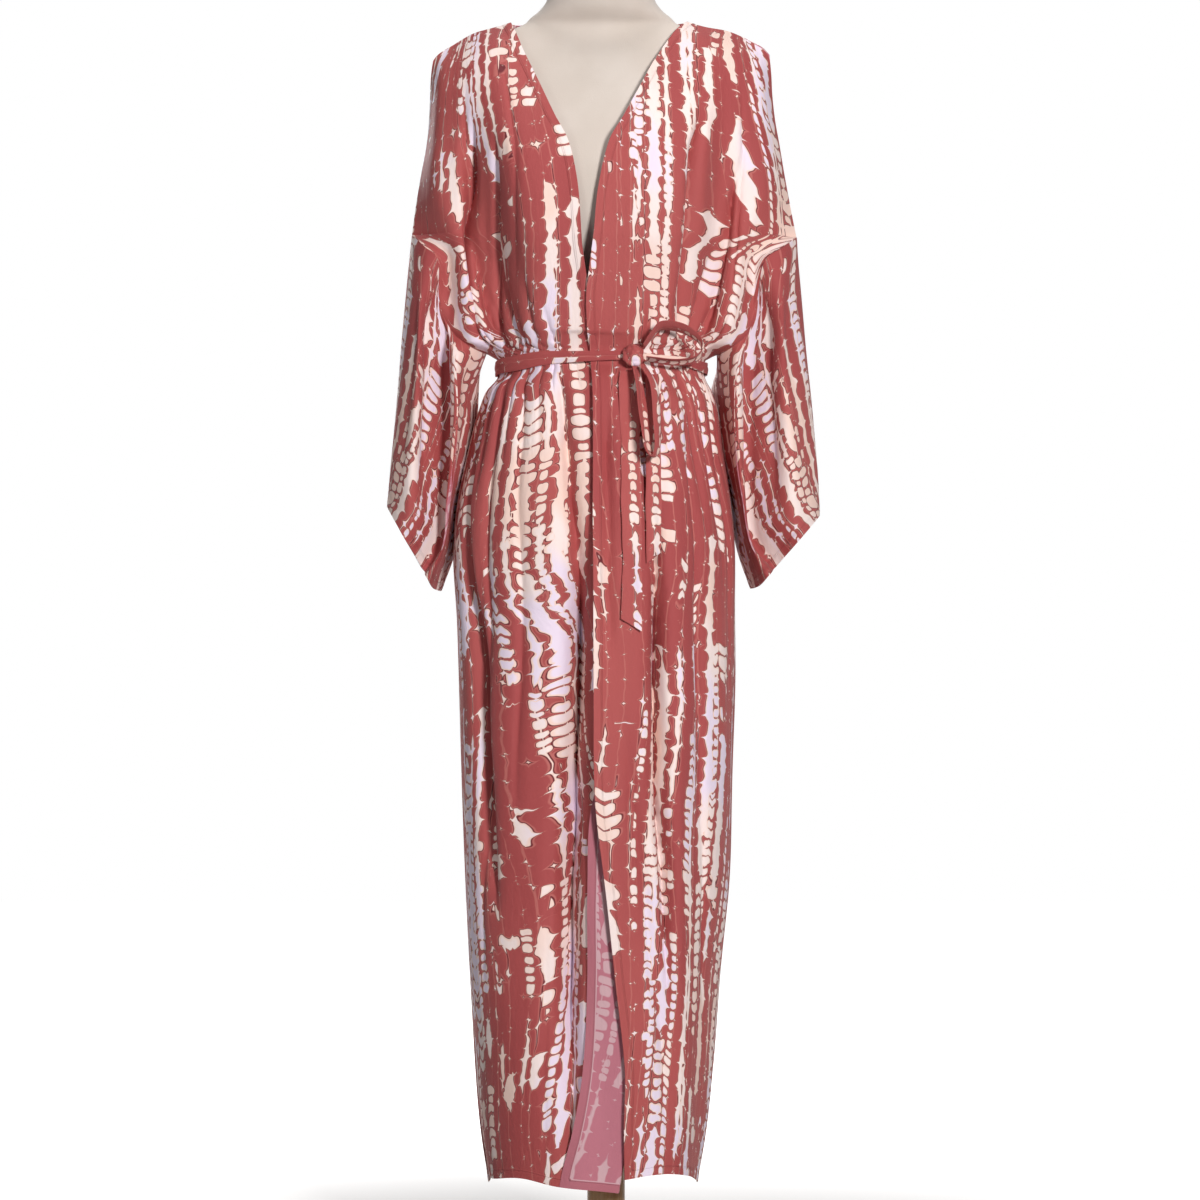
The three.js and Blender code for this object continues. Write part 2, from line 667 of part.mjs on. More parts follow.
// A closed wall on a grid of middle points, half its thickness to each side. Where wraps is true,
// the grid's columns close on themselves into a tube.
function wallFrom(grid, thickness, wraps = false) {
  const rows = grid.length;
  const columns = grid[0].length;
  const position = [];
  const index = [];
  const normals = grid.map((row, r) =>
    row.map((_, c) => {
      const left = wraps ? row[(c + columns - 1) % columns] : row[Math.max(0, c - 1)];
      const right = wraps ? row[(c + 1) % columns] : row[Math.min(columns - 1, c + 1)];
      const up = grid[Math.max(0, r - 1)][c];
      const low = grid[Math.min(rows - 1, r + 1)][c];
      return right.clone().sub(left).cross(low.clone().sub(up)).normalize();
    }),
  );
  for (const side of [1, -1]) {
    grid.forEach((row, r) =>
      row.forEach((p, c) => {
        const q = p.clone().addScaledVector(normals[r][c], (side * thickness) / 2);
        position.push(q.x, q.y, q.z);
      }),
    );
  }
  const at = (side, r, c) => side * rows * columns + r * columns + (c % columns);
  const quad = (a, b, c, d) => index.push(a, b, c, a, c, d);
  const lastColumn = wraps ? columns : columns - 1;
  for (let r = 0; r < rows - 1; r += 1) {
    for (let c = 0; c < lastColumn; c += 1) {
      quad(at(0, r, c), at(0, r, c + 1), at(0, r + 1, c + 1), at(0, r + 1, c));
      quad(at(1, r, c), at(1, r + 1, c), at(1, r + 1, c + 1), at(1, r, c + 1));
    }
  }
  for (let c = 0; c < lastColumn; c += 1) {
    quad(at(0, 0, c), at(1, 0, c), at(1, 0, c + 1), at(0, 0, c + 1));
    quad(at(0, rows - 1, c), at(0, rows - 1, c + 1), at(1, rows - 1, c + 1), at(1, rows - 1, c));
  }
  if (!wraps) {
    const last = columns - 1;
    for (let r = 0; r < rows - 1; r += 1) {
      quad(at(0, r, 0), at(0, r + 1, 0), at(1, r + 1, 0), at(1, r, 0));
      quad(at(0, r, last), at(1, r, last), at(1, r + 1, last), at(0, r + 1, last));
    }
  }
  return solidFrom(position, index);
}

// A closed mesh turned so that its faces point out.
function solidFrom(position, index) {
  const corner = (i) => new THREE.Vector3().fromArray(position, 3 * i);
  let volume = 0;
  for (let i = 0; i < index.length; i += 3) {
    const [a, b, c] = [corner(index[i]), corner(index[i + 1]), corner(index[i + 2])];
    volume += a.dot(b.cross(c));
  }
  if (volume < 0) {
    for (let i = 0; i < index.length; i += 3) {
      [index[i + 1], index[i + 2]] = [index[i + 2], index[i + 1]];
    }
  }
  const geometry = new THREE.BufferGeometry();
  geometry.setAttribute("position", new THREE.Float32BufferAttribute(position, 3));
  geometry.setIndex(index);
  geometry.computeVertexNormals();
  return geometry;
}

function mesh(name, geometry, colour, roughness) {
  const material = new THREE.MeshStandardMaterial({ color: colour, roughness, metalness: 0 });
  const made = new THREE.Mesh(geometry, material);
  made.name = name;
  return made;
}

// The hem's height changes a little along a piece: lowers or lifts the rows near the hem.
function hemShift(hem, down, across) {
  const z = DOWN_PLUS_Z - down;
  return (lookUp(hem, "across", "z", across) - HEM_Z) * (1 - smooth(HEM_Z, HEM_Z + 160, z));
}

// How far the over front stands off the under front, at a place.
function overLap(p) {
  const inSkirt = smooth(1040, 980, p.z);
  const reach = mix(20, 74, inSkirt);
  const height = mix(LAP + 3.8 * inSkirt, 2 * LAP + 4.2, smooth(860, 780, p.z));
  return height * (1 - smooth(reach, reach + 34, p.x)) * (1 - smooth(1120, 1200, p.z));
}

// How much the over front's skirt folds sink the cloth at a place, so that the layer below them follows.
function sinkBelowLap(down, x) {
  const z = DOWN_PLUS_Z - down;
  if (z > BELT_Z) return 0;
  const sizes = skirtSizes(z);
  const from = turnAtX(sizes, skirtEdge("overX", z));
  const across = (turnAtX(sizes, x) - from) / (Math.PI / 2 - from);
  return across > 0 ? sink(FOLDS_OVER, down, across) : 0;
}

function shiftedToHem(net, hem) {
  return (down, across) => {
    const p = net.point(down, across);
    p.z += hemShift(hem, down, across);
    return p;
  };
}

function overPanel(net) {
  const surface = shiftedToHem(net, HEM_OVER);
  return bodyRows(SEAM_LEFT, false).map((down) =>
    Array.from({ length: FRONT_COLUMNS + 1 }, (_, c) => {
      const across = c / FRONT_COLUMNS;
      const p = surface(down, across);
      const out = normalAt(surface, down, across, -1);
      return p.addScaledVector(out, overLap(p) - sink(FOLDS_OVER, down, across));
    }),
  );
}

// The under front with its free edge, which turns over on itself towards the viewer lower down.
function underPanel(net) {
  const surface = shiftedToHem(net, HEM_UNDER);
  return bodyRows(SEAM_RIGHT, false).map((down) => {
    const flat = Array.from({ length: FRONT_COLUMNS + 1 }, (_, c) => {
      const across = c / FRONT_COLUMNS;
      const p = surface(down, across);
      const out = normalAt(surface, down, across, 1);
      return { p, out, depth: sink(FOLDS_UNDER, down, across) };
    });
    return [...flapPoints(down, flat), ...flat].map(({ p, out, depth }) =>
      p.clone().addScaledVector(out, -depth - sinkBelowLap(down, p.x)),
    );
  });
}

function flapPoints(down, flat) {
  const z = Math.min(DOWN_PLUS_Z - down, SKIRT_EDGES[0].z);
  const width = skirtEdge("flap", z);
  const turn = clamp(skirtEdge("turn", z), 0, 1) * Math.PI;
  const bend = LAP / 2;
  const fold = flat[0].p;
  const forward = fold.clone().sub(flat[1].p).normalize();
  const out = flat[0].out;
  return Array.from({ length: FLAP_COLUMNS }, (_, k) => {
    const far = (width * (FLAP_COLUMNS - k)) / FLAP_COLUMNS;
    if (turn < 0.05) return { p: fold.clone().addScaledVector(forward, far), out, depth: 0 };
    const angle = Math.min(far / bend, turn);
    const rest = Math.max(0, far - turn * bend);
    const p = fold
      .clone()
      .addScaledVector(forward, bend * Math.sin(angle) + rest * Math.cos(angle))
      .addScaledVector(out, bend * (1 - Math.cos(angle)) + rest * Math.sin(angle));
    return { p, out, depth: 0 };
  });
}

// Draws the last points of a grid back from its seams.
function trim(grid, { top = 0, start = 0, end = 0 }) {
  const pull = (p, from, gap) => p.addScaledVector(from.clone().sub(p).normalize(), gap);
  grid.forEach((row, r) => {
    const atTip = top && r < TIP_ROWS ? TIP_GAP : 0;
    if (start) pull(row[0], row[1], Math.max(start, atTip));
    if (end) pull(row[row.length - 1], row[row.length - 2], Math.max(end, atTip));
  });
  if (top) {
    grid[0].forEach((p, c) => {
      const atStart = start && c < TIP_COLUMNS;
      const atEnd = end && c > grid[0].length - 1 - TIP_COLUMNS;
      pull(p, grid[1][c], atStart || atEnd ? Math.max(top, TIP_GAP) : top);
    });
  }
  return grid;
}

function sleeveGrid(seam, rows) {
  const seamPoints = seam.map((row) => new THREE.Vector3(row.x, row.y, row.z));
  const seamRounds = column(seam, "round");
  const rounds = [0, 0.12, 0.25, 0.38, 0.5, 0.63, 0.76, 0.88];
  const rings = rows.map((row) => {
    const at = (x, y) => {
      const share = clamp((x - row.outX) / (row.inX - row.outX), 0, 1);
      return new THREE.Vector3(x, y, mix(row.outZ, row.inZ, share));
    };
    const outerX = mix(row.outX, row.creaseX, 0.42);
    const innerX = mix(row.creaseX, row.inX, 0.55);
    return [
      at(row.outX, 0),
      at(outerX, -row.ridge),
      at(row.creaseX, -row.crease),
      at(innerX, -row.inner),
      at(row.inX, 0),
      at(innerX, row.backY * 0.8),
      at(row.creaseX, row.backY * 0.86),
      at(outerX, row.backY),
    ];
  });
  const count = 2 * ARMHOLE_STEPS;
  const knots = [0, ...column(rows, "along")];
  return SLEEVE_ROWS.map((along) =>
    Array.from({ length: count }, (_, k) => {
      const round = k / count;
      const stack = [pointOnLoop(seamRounds, seamPoints, round)];
      rings.forEach((ring) => stack.push(pointOnLoop(rounds, ring, round)));
      return pointThrough(knots, stack, along);
    }),
  );
}

const group = new THREE.Group();
const cloth = (name, geometry) => group.add(mesh(name, geometry, CLOTH_COLOUR, 0.62));

const underNet = frontNet(-1, EDGE_UNDER, "underX", FOLD_RIGHT, SEAM_RIGHT, SHOULDER_RIGHT);
const overNet = frontNet(1, EDGE_OVER, "overX", FOLD_LEFT, SEAM_LEFT, SHOULDER_LEFT);
const underGrid = underPanel(underNet);
const overGrid = overPanel(overNet);
const frontEdges = { top: SHOULDER_GAP, end: SEAM_GAP };
cloth("front_right_under", wallFrom(trim(underGrid, frontEdges), CLOTH));
cloth("front_left_over", wallFrom(trim(overGrid, frontEdges), CLOTH));

const backSurface = shiftedToHem(backNet(), HEM_BACK);
const backGrid = bodyRows(SEAM_RIGHT, true).map((down) =>
  Array.from({ length: BACK_COLUMNS + 1 }, (_, c) => {
    const across = c / BACK_COLUMNS;
    const n = normalAt(backSurface, down, across, 1);
    return backSurface(down, across).addScaledVector(n, -sink(FOLDS_BACK, down, across));
  }),
);
const backEdges = { top: SHOULDER_GAP, start: SEAM_GAP, end: SEAM_GAP };
cloth("back_panel", wallFrom(trim(backGrid, backEdges), CLOTH));

for (const [name, seam, rows] of [
  ["sleeve_right", SEAM_RIGHT, SLEEVE_RIGHT],
  ["sleeve_left", SEAM_LEFT, SLEEVE_LEFT],
]) {
  cloth(name, wallFrom(trim(sleeveGrid(seam, rows), { top: SLEEVE_GAP }), CLOTH, true));
}

// Closed solid through rings of points, with flat ends.
function loft(rings) {
  const count = rings[0].length;
  const position = rings.flat().flatMap((p) => [p.x, p.y, p.z]);
  const index = [];
  for (let r = 0; r < rings.length - 1; r += 1) {
    for (let k = 0; k < count; k += 1) {
      const next = (k + 1) % count;
      const [a, b] = [r * count + k, r * count + next];
      index.push(a, b, b + count, a, b + count, a + count);
    }
  }
  for (const [ring, flip] of [[0, true], [rings.length - 1, false]]) {
    const middle = rings[ring].reduce((sum, p) => sum.add(p), new THREE.Vector3());
    middle.divideScalar(count);
    const tip = position.length / 3;
    position.push(middle.x, middle.y, middle.z);
    for (let k = 0; k < count; k += 1) {
      const [a, b] = [ring * count + k, ring * count + ((k + 1) % count)];
      index.push(...(flip ? [tip, b, a] : [tip, a, b]));
    }
  }
  return solidFrom(position, index);
}

function formRing(row, scale = 1) {
  const sizes = {
    z: row.z,
    left: row.halfWidth * scale,
    right: -row.halfWidth * scale,
    front: row.front * scale,
    back: row.back * scale,
  };
  return Array.from({ length: FORM_SIDES }, (_, k) => {
    const p = ovalPoint(sizes, row.square, (2 * Math.PI * k) / FORM_SIDES);
    p.x += MIDDLE_X;
    return p;
  });
}

// The belt: a band round the waist, lying on the fronts and the back.
function beltBand() {
  const sizes = skirtSizes(BELT_Z);
  const clear = CLOTH / 2 + BELT_THICK / 2 + BELT_CLEAR;
  const grid = [-0.5, 0, 0.5].map((share) =>
    Array.from({ length: BELT_STEPS }, (_, k) => {
      const degrees = (360 * k) / BELT_STEPS - 180;
      const turn = THREE.MathUtils.degToRad(degrees);
      const p = ovalPoint(sizes, SKIRT_SQUARENESS, turn);
      const next = ovalPoint(sizes, SKIRT_SQUARENESS, turn + 0.02);
      const out = next.sub(p).cross(new THREE.Vector3(0, 0, 1)).normalize();
      const isFront = Math.cos(turn) > 0;
      const lapped = isFront ? smooth(-62, -22, p.x) * (1 - smooth(22, 62, p.x)) : 0;
      p.addScaledVector(out, clear + LAP * lapped);
      p.z -= BELT_DIP * Math.sin(turn) ** 2 + share * lookUp(BELT_WIDTHS, "turn", "width", degrees);
      return p;
    }),
  );
  return wallFrom(grid, BELT_THICK, true);
}

// A ribbon of belt along a smooth path. The table gives the path and the way its width lies.
function ribbon(rows, width, steps) {
  const knots = rows.map((_, i) => i / (rows.length - 1));
  const centres = rows.map((row) => new THREE.Vector3(row.x, row.y, row.z));
  const grid = Array.from({ length: steps + 1 }, (_, k) => {
    const at = k / steps;
    const p = pointThrough(knots, centres, at);
    const wide = ["wideX", "wideY", "wideZ"].map((name) => through(knots, column(rows, name), at));
    const across = new THREE.Vector3(...wide).normalize();
    return [-0.5, 0, 0.5].map((share) => p.clone().addScaledVector(across, share * width));
  });
  return wallFrom(grid, RIBBON_THICK);
}

// How far forward the over front's cloth reaches at a place, before its folds sink it.
function frontY(x, z) {
  const sizes = skirtSizes(Math.min(z, BELT_Z));
  const p = ovalPoint(sizes, SKIRT_SQUARENESS, turnAtX(sizes, x));
  return p.y - overLap(new THREE.Vector3(x, p.y, z)) - CLOTH / 2;
}

// A tail hangs on the cloth.
function tail(rows, width, steps) {
  const laid = rows.map(({ x, z, off, wideY }) => ({
    x,
    y: frontY(x, z) - off,
    z,
    wideX: 1,
    wideY,
    wideZ: 0,
  }));
  return ribbon(laid, width, steps);
}


function knotSolid() {
  const rings = 7;
  const sides = 14;
  return loft(
    Array.from({ length: rings }, (_, r) => {
      const tilt = mix(-1.35, 1.35, r / (rings - 1));
      return Array.from({ length: sides }, (_, k) => {
        const turn = (2 * Math.PI * k) / sides;
        const pinch = 1 - 0.12 * Math.cos(3 * turn + 2 * tilt);
        return new THREE.Vector3(
          KNOT.x + KNOT_HALF.x * pinch * Math.cos(tilt) ** 0.7 * Math.cos(turn),
          KNOT.y + KNOT_HALF.y * pinch * Math.cos(tilt) ** 0.7 * Math.sin(turn),
          KNOT.z + KNOT_HALF.z * Math.sin(tilt),
        );
      });
    }),
  );
}

const tie = (name, geometry) => group.add(mesh(name, geometry, BELT_COLOUR, 0.6));
tie("belt_band", beltBand());
tie("belt_knot", knotSolid());
tie("bow_loop_upper", ribbon(UPPER_LOOP, LOOP_WIDTH_UPPER, 20));
tie("bow_loop_hanging", ribbon(HANGING_LOOP, LOOP_WIDTH_HANGING, 20));
tie("belt_tail_long", tail(TAIL_LONG, TAIL_WIDTH_LONG, 12));
tie("belt_tail_short", tail(TAIL_SHORT, TAIL_WIDTH_SHORT, 10));

group.add(mesh("form_torso", loft([...FORM].reverse().map((row) => formRing(row))), FORM_COLOUR, 0.85));
const neckRow = { ...FORM[0] };
const capRings = [
  [0.3, 1],
  [6, 1.02],
  [10, 0.96],
  [12, 0.85],
].map(([rise, scale]) => formRing({ ...neckRow, z: NECK_TOP_Z + rise }, scale));
group.add(mesh("form_neck_cap", loft(capRings), WOOD_COLOUR, 0.5));

const poleLength = FORM_BOTTOM_Z - BASE_HEIGHT - 2 * PART_GAP;
const pole = new THREE.CylinderGeometry(POLE_RADIUS, POLE_RADIUS, poleLength, 24);
pole.rotateX(Math.PI / 2).translate(0, 0, BASE_HEIGHT + PART_GAP + poleLength / 2);
group.add(mesh("stand_pole", pole, WOOD_COLOUR, 0.5));

const baseOutline = [
  new THREE.Vector2(0, 0),
  new THREE.Vector2(BASE_RADIUS - 2, 0),
  new THREE.Vector2(BASE_RADIUS, 2),
  ...Array.from({ length: 5 }, (_, k) => {
    const turn = (k / 4) * (Math.PI / 2);
    return new THREE.Vector2(
      BASE_RADIUS - EDGE_ROUND + EDGE_ROUND * Math.cos(turn),
      BASE_HEIGHT - EDGE_ROUND + EDGE_ROUND * Math.sin(turn),
    );
  }),
  new THREE.Vector2(0, BASE_HEIGHT),
];
const base = new THREE.LatheGeometry(baseOutline, 48);
base.rotateX(Math.PI / 2);
group.add(mesh("stand_base", base, WOOD_COLOUR, 0.5));

export default group;
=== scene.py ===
"""Dresses the beach kimono on its dress form stand. Lengths are in millimetres until a mesh is made.

"Left" and "right" in a piece's name are the wearer's. The front faces -Y, and the pole is on the Z axis.
"""

import math

import bpy
import numpy as np
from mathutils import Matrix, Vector


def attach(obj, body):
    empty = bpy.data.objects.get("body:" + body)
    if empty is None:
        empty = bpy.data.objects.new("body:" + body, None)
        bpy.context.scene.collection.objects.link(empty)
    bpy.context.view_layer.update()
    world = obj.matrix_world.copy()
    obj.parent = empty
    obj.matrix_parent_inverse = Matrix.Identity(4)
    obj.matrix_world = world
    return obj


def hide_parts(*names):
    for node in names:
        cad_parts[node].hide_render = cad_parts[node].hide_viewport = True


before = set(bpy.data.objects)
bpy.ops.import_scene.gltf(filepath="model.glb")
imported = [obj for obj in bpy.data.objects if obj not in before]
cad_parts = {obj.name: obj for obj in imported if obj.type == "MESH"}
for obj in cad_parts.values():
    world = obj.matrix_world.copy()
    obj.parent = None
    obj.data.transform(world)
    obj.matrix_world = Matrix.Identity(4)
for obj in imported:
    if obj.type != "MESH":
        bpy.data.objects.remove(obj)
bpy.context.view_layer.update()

MM = 0.001
CLOTH = 0.8  # thickness of the cloth
HEM_WIDTH = 10
HEM_EXTRA = 0.35  # a turned hem is this much thicker to each side
SEAM_GAP = 0.25  # a piece stops this far short of its seam line
MIDDLE_X = -6  # middle plane of the garment and the form
LAP = 4.4  # distance from one cloth layer to the next where they lie on each other

BELT_THICK = 2.0
BELT_Z = 1040
BELT_DIP = 10
BELT_CLEAR = 1.2
RIBBON_THICK = 1.4
KNOT = np.array([31, -116, 1040])
KNOT_HALF = np.array([12.5, 9, 12.5])

POLE_RADIUS = 22
BASE_RADIUS = 175
BASE_HEIGHT = 25
FORM_BOTTOM_Z = 742
NECK_TOP_Z = 1484

# How finely the cloth is divided
FRONT_COLUMNS = 120
BACK_COLUMNS = 150
ARMHOLE_STEPS = 60
SLEEVE_COLUMNS = 120
SLEEVE_ROWS = 90
FORM_SIDES = 112

FOLD_SHARPNESS = 1.35  # 2 would be round at the bottom, 1 a sharp V
FOLD_SIDES = (1.25, 0.9)  # how steep a fold's two sides are
FRONT_ROUNDING = 300  # radius of the skirt's front, for the turned edge that lies on it
SLEEVE_BEHIND_HIP = 7  # the sleeve reaches this far inwards behind the hip
NO_HEM = 500  # a distance from the edge where no hem is drawn
PRINT_STEP = 33  # from one column of motifs to the next
OVER_FRONT_PRINT_FROM = [1160, 400]  # where in the print the over front is cut
TOP_REACH = 70  # the shoulder line shapes this much of the cloth below it
SKIRT_SQUARENESS = 2.3
DOWN_PLUS_Z = 1466  # down of a skirt section plus its height
HEM_Z = 108

PHOTO_SCALE = 1.15  # millimetres a pixel at the form
PHOTO_WIDTH = 1200
PHOTO_MIDDLE = (-7, 765)  # X and Z at the photograph's middle
CAMERA_DISTANCE = 5000


def table(rows):
    """A table, whose first row names its columns, as a dict of arrays."""
    names, *values = rows
    return dict(zip(names, np.array(values, float).T))


def folds(rows):
    """A table of folds: where across and how wide each is at its top and foot, its depth, and by down
    where it begins, is at its full depth, begins to fade and ends."""
    return table([["top", "foot", "width", "foot_width", "depth", "from", "full", "fade", "to"], *rows])


BODICE_FRONT = table([
    ["down", "rise", "chest_x", "chest_y", "arm_x", "arm_y", "strip_x", "strip_y", "recess_x", "recess_y"],
    [0, 8, 130, 4, 151, 3, 168, 2, 184, 1],
    [30, 8, 124, -28, 148, -27, 166, -24, 184, -17],
    [60, 6, 119, -52, 146, -47, 166, -39, 185, -28],
    [105, 3, 111, -78, 144, -61, 167, -50, 187, -35],
    [150, 0, 104, -100, 141, -69, 168, -57, 189, -41],
    [187, 0, 97, -118, 138, -73, 168, -60, 191, -45],
    [234, 0, 92, -128, 132, -71, 163, -62, 188, -49],
    [286, 0, 88, -125, 129, -63, 159, -62, 180, -49],
    [302, 0, 86, -122, 128, -59, 157, -62, 177, -47],
    [316, 0, 84, -118, 126, -55, 155, -61, 173, -44],
    [356, 0, 80, -110, 121, -51, 150, -61, 171, -33],
    [396, 0, 76, -102, 115, -55, 144, -57, 162, -38],
    [404, 0, 73, -98, 111, -56, 136, -50, 147, -46],
    [412, 0, 71, -93, 106, -55, 120, -36, 127, -21],
])

BODICE_BACK = table([
    ["down", "rise", "middle_y",
     "nape_x", "nape_y", "blade_x", "blade_y", "arm_x", "arm_y", "wing_x", "wing_y"],
    [0, 16, 74, 58, 62, 100, 12, 140, 4, 176, 1],
    [30, 13, 86, 56, 78, 101, 44, 142, 29, 179, 18],
    [60, 8, 92, 54, 88, 101, 66, 142, 50, 181, 31],
    [105, 3, 98, 52, 95, 98, 83, 139, 64, 184, 39],
    [150, 0, 102, 50, 100, 94, 92, 134, 70, 187, 44],
    [187, 0, 104, 48, 102, 90, 97, 132, 72, 188, 47],
    [234, 0, 104, 47, 102, 88, 98, 130, 71, 184, 52],
    [286, 0, 103, 46, 101, 86, 96, 128, 68, 176, 55],
    [302, 0, 102, 45, 100, 84, 95, 126, 67, 172, 55],
    [316, 0, 102, 44, 100, 82, 94, 124, 65, 167, 55],
    [356, 0, 100, 42, 98, 78, 91, 119, 62, 154, 55],
    [396, 0, 97, 40, 95, 75, 87, 112, 57, 137, 48],
    [404, 0, 96, 39, 93, 73, 85, 108, 56, 129, 42],
    [412, 0, 94, 38, 91, 71, 82, 104, 54, 119, 31],
])

SHOULDER_RIGHT = table([
    ["x", "y", "z"],
    [-199, 0, 1385],
    [-192, 0, 1393],
    [-179, 1, 1402],
    [-156, 3, 1415],
    [-133, 5, 1423],
    [-116, 6, 1427],
])

SHOULDER_LEFT = table([
    ["x", "y", "z"],
    [92, 6, 1430],
    [116, 5, 1424],
    [142, 3, 1418],
    [166, 1, 1409],
    [181, 0, 1400],
    [188, 0, 1392],
])

EDGE_UNDER = table([
    ["down", "x", "y", "z"],
    [0, -116, 6, 1427],
    [30, -109, -22, 1411],
    [60, -101, -42, 1391],
    [105, -83, -74, 1351],
    [150, -65, -100, 1311],
    [187, -49, -118, 1279],
    [234, -39, -131, 1232],
    [286, -35, -133, 1178],
    [302, -34, -131, 1164],
    [316, -32, -129, 1150],
    [356, -26, -121, 1110],
    [396, -20, -112, 1070],
    [404, -18, -107, 1065],
    [412, -17, -103, 1057],
])

EDGE_OVER = table([
    ["down", "x", "y", "z"],
    [0, 92, 6, 1430],
    [30, 76, -24, 1413],
    [60, 58, -50, 1384],
    [105, 38, -82, 1346],
    [150, 19, -108, 1310],
    [187, 3, -124, 1280],
    [234, -9, -136, 1228],
    [286, -14, -137, 1178],
    [302, -16, -134, 1164],
    [316, -18, -131, 1150],
    [356, -23, -122, 1110],
    [396, -22, -112, 1070],
    [404, -21, -108, 1065],
    [412, -20, -104, 1057],
])

FOLD_RIGHT = table([
    ["down", "x", "z"],
    [0, -199, 1385],
    [30, -201, 1364],
    [60, -202, 1342],
    [105, -204, 1312],
    [150, -207, 1286],
    [187, -212, 1258],
    [234, -218, 1220],
    [286, -223, 1184],
])

FOLD_LEFT = table([
    ["down", "x", "z"],
    [0, 188, 1392],
    [30, 190, 1368],
    [60, 191, 1345],
    [105, 194, 1316],
    [150, 199, 1288],
    [187, 204, 1260],
    [234, 211, 1224],
    [286, 219, 1182],
])

SEAM_RIGHT = table([
    ["round", "down", "x", "y", "z"],
    [0, 286, -223, 0, 1184],
    [0.094, 302, -207, -43, 1168],
    [0.139, 316, -192, -50, 1153],
    [0.239, 356, -191, -33, 1110],
    [0.323, 396, -178, -27, 1076],
    [0.416, 404, -158, -37, 1057],
    [0.5, 412, -138, -5, 1048],
    [0.59, 404, -146, 36, 1058],
    [0.68, 396, -158, 46, 1082],
    [0.77, 356, -176, 52, 1118],
    [0.86, 316, -193, 52, 1150],
    [0.93, 302, -209, 40, 1170],
])

SEAM_LEFT = table([
    ["round", "down", "x", "y", "z"],
    [0, 286, 219, 0, 1182],
    [0.094, 302, 201, -44, 1167],
    [0.139, 316, 181, -51, 1153],
    [0.239, 356, 173, -33, 1110],
    [0.323, 396, 164, -27, 1074],
    [0.416, 404, 146, -37, 1055],
    [0.5, 412, 128, -5, 1046],
    [0.59, 404, 136, 36, 1056],
    [0.68, 396, 149, 46, 1080],
    [0.77, 356, 168, 52, 1116],
    [0.86, 316, 188, 52, 1150],
    [0.93, 302, 204, 40, 1169],
])

SKIRT = table([
    ["z", "right", "left", "front", "back"],
    [1050, -124, 113, -101, 92],
    [1031, -125, 114, -102, 92],
    [1014, -137, 122, -111, 99],
    [990, -144, 128, -117, 104],
    [940, -156, 134, -123, 112],
    [880, -170, 143, -131, 120],
    [822, -175, 149, -135, 125],
    [742, -171, 148, -135, 127],
    [650, -168, 147, -134, 127],
    [540, -165, 144, -132, 125],
    [440, -161, 140, -130, 123],
    [340, -157, 131, -128, 120],
    [240, -151, 124, -126, 118],
    [170, -145, 115, -125, 116],
    [108, -136, 104, -124, 114],
])

SKIRT_EDGES = table([
    ["z", "over_x", "under_x", "flap", "turn"],
    [1050, -19, -17, 7, 0],
    [993, -16, 2, 7, 0],
    [880, -16, 32, 7, 0],
    [822, -16, 46, 7, 0],
    [776, -16, 52, 7, 0],
    [740, -16, 53, 9, 1],
    [676, -16, 49, 24, 1],
    [540, -14, 38, 60, 1],
    [440, -3, 31, 59, 1],
    [340, 7, 28, 56, 1],
    [240, 17, 25, 58, 1],
    [170, 16, 22, 67, 1],
    [130, 16, 18, 71, 1],
    [100, 16, 9, 71, 1],
])

HEM_UNDER = table([["across", "z"], [0, 100], [0.25, 106], [0.5, 113], [0.8, 107], [1, 110]])

HEM_OVER = table([["across", "z"], [0, 116], [0.3, 121], [0.6, 113], [0.85, 102], [1, 96]])

HEM_BACK = table([["across", "z"], [0, 96], [0.3, 108], [0.55, 112], [0.8, 108], [1, 110]])

FOLDS_UNDER = folds([
    [0.2, 0.21, 0.022, 0.025, 11, 440, 490, 600, 700],
    [0.22, 0.21, 0.032, 0.045, 46, 590, 780, 1100, 1380],
    [0.86, 0.72, 0.03, 0.03, 10, 440, 500, 600, 700],
    [0.78, 0.58, 0.03, 0.045, 36, 590, 720, 900, 1080],
    [0.6, 0.64, 0.03, 0.045, 9, 432, 480, 700, 900],
    [0.2, 0.27, 0.03, 0.04, 8, 432, 480, 800, 1380],
    [0.46, 0.4, 0.025, 0.03, 7, 430, 450, 470, 560],
    [0.72, 0.7, 0.025, 0.03, 8, 430, 450, 500, 600],
    [0.88, 0.9, 0.03, 0.035, 8, 430, 450, 520, 640],
    [0.58, 0.5, 0.028, 0.024, 9, 250, 330, 400, 420],
    [0.44, 0.38, 0.024, 0.022, 7, 300, 360, 400, 420],
    [0.3, 0.26, 0.026, 0.02, 5, 310, 370, 400, 420],
])

FOLDS_OVER = folds([
    [0.058, 0.07, 0.025, 0.03, 8, 470, 540, 690, 800],
    [0.2, 0.24, 0.022, 0.025, 10, 450, 500, 600, 700],
    [0.235, 0.3, 0.025, 0.035, 28, 590, 750, 900, 1250],
    [0.28, 0.3, 0.04, 0.04, 5, 430, 450, 500, 640],
    [0.5, 0.56, 0.03, 0.04, 8, 430, 450, 500, 650],
    [0.63, 0.72, 0.03, 0.05, 9, 430, 450, 520, 760],
    [0.78, 0.82, 0.03, 0.06, 9, 430, 460, 560, 900],
    [0.1, 0.3, 0.03, 0.06, 8, 800, 950, 1200, 1380],
    [0.62, 0.5, 0.03, 0.024, 11, 170, 260, 400, 420],
    [0.48, 0.4, 0.024, 0.022, 7, 290, 350, 400, 420],
    [0.32, 0.28, 0.026, 0.02, 5, 310, 370, 400, 420],
])

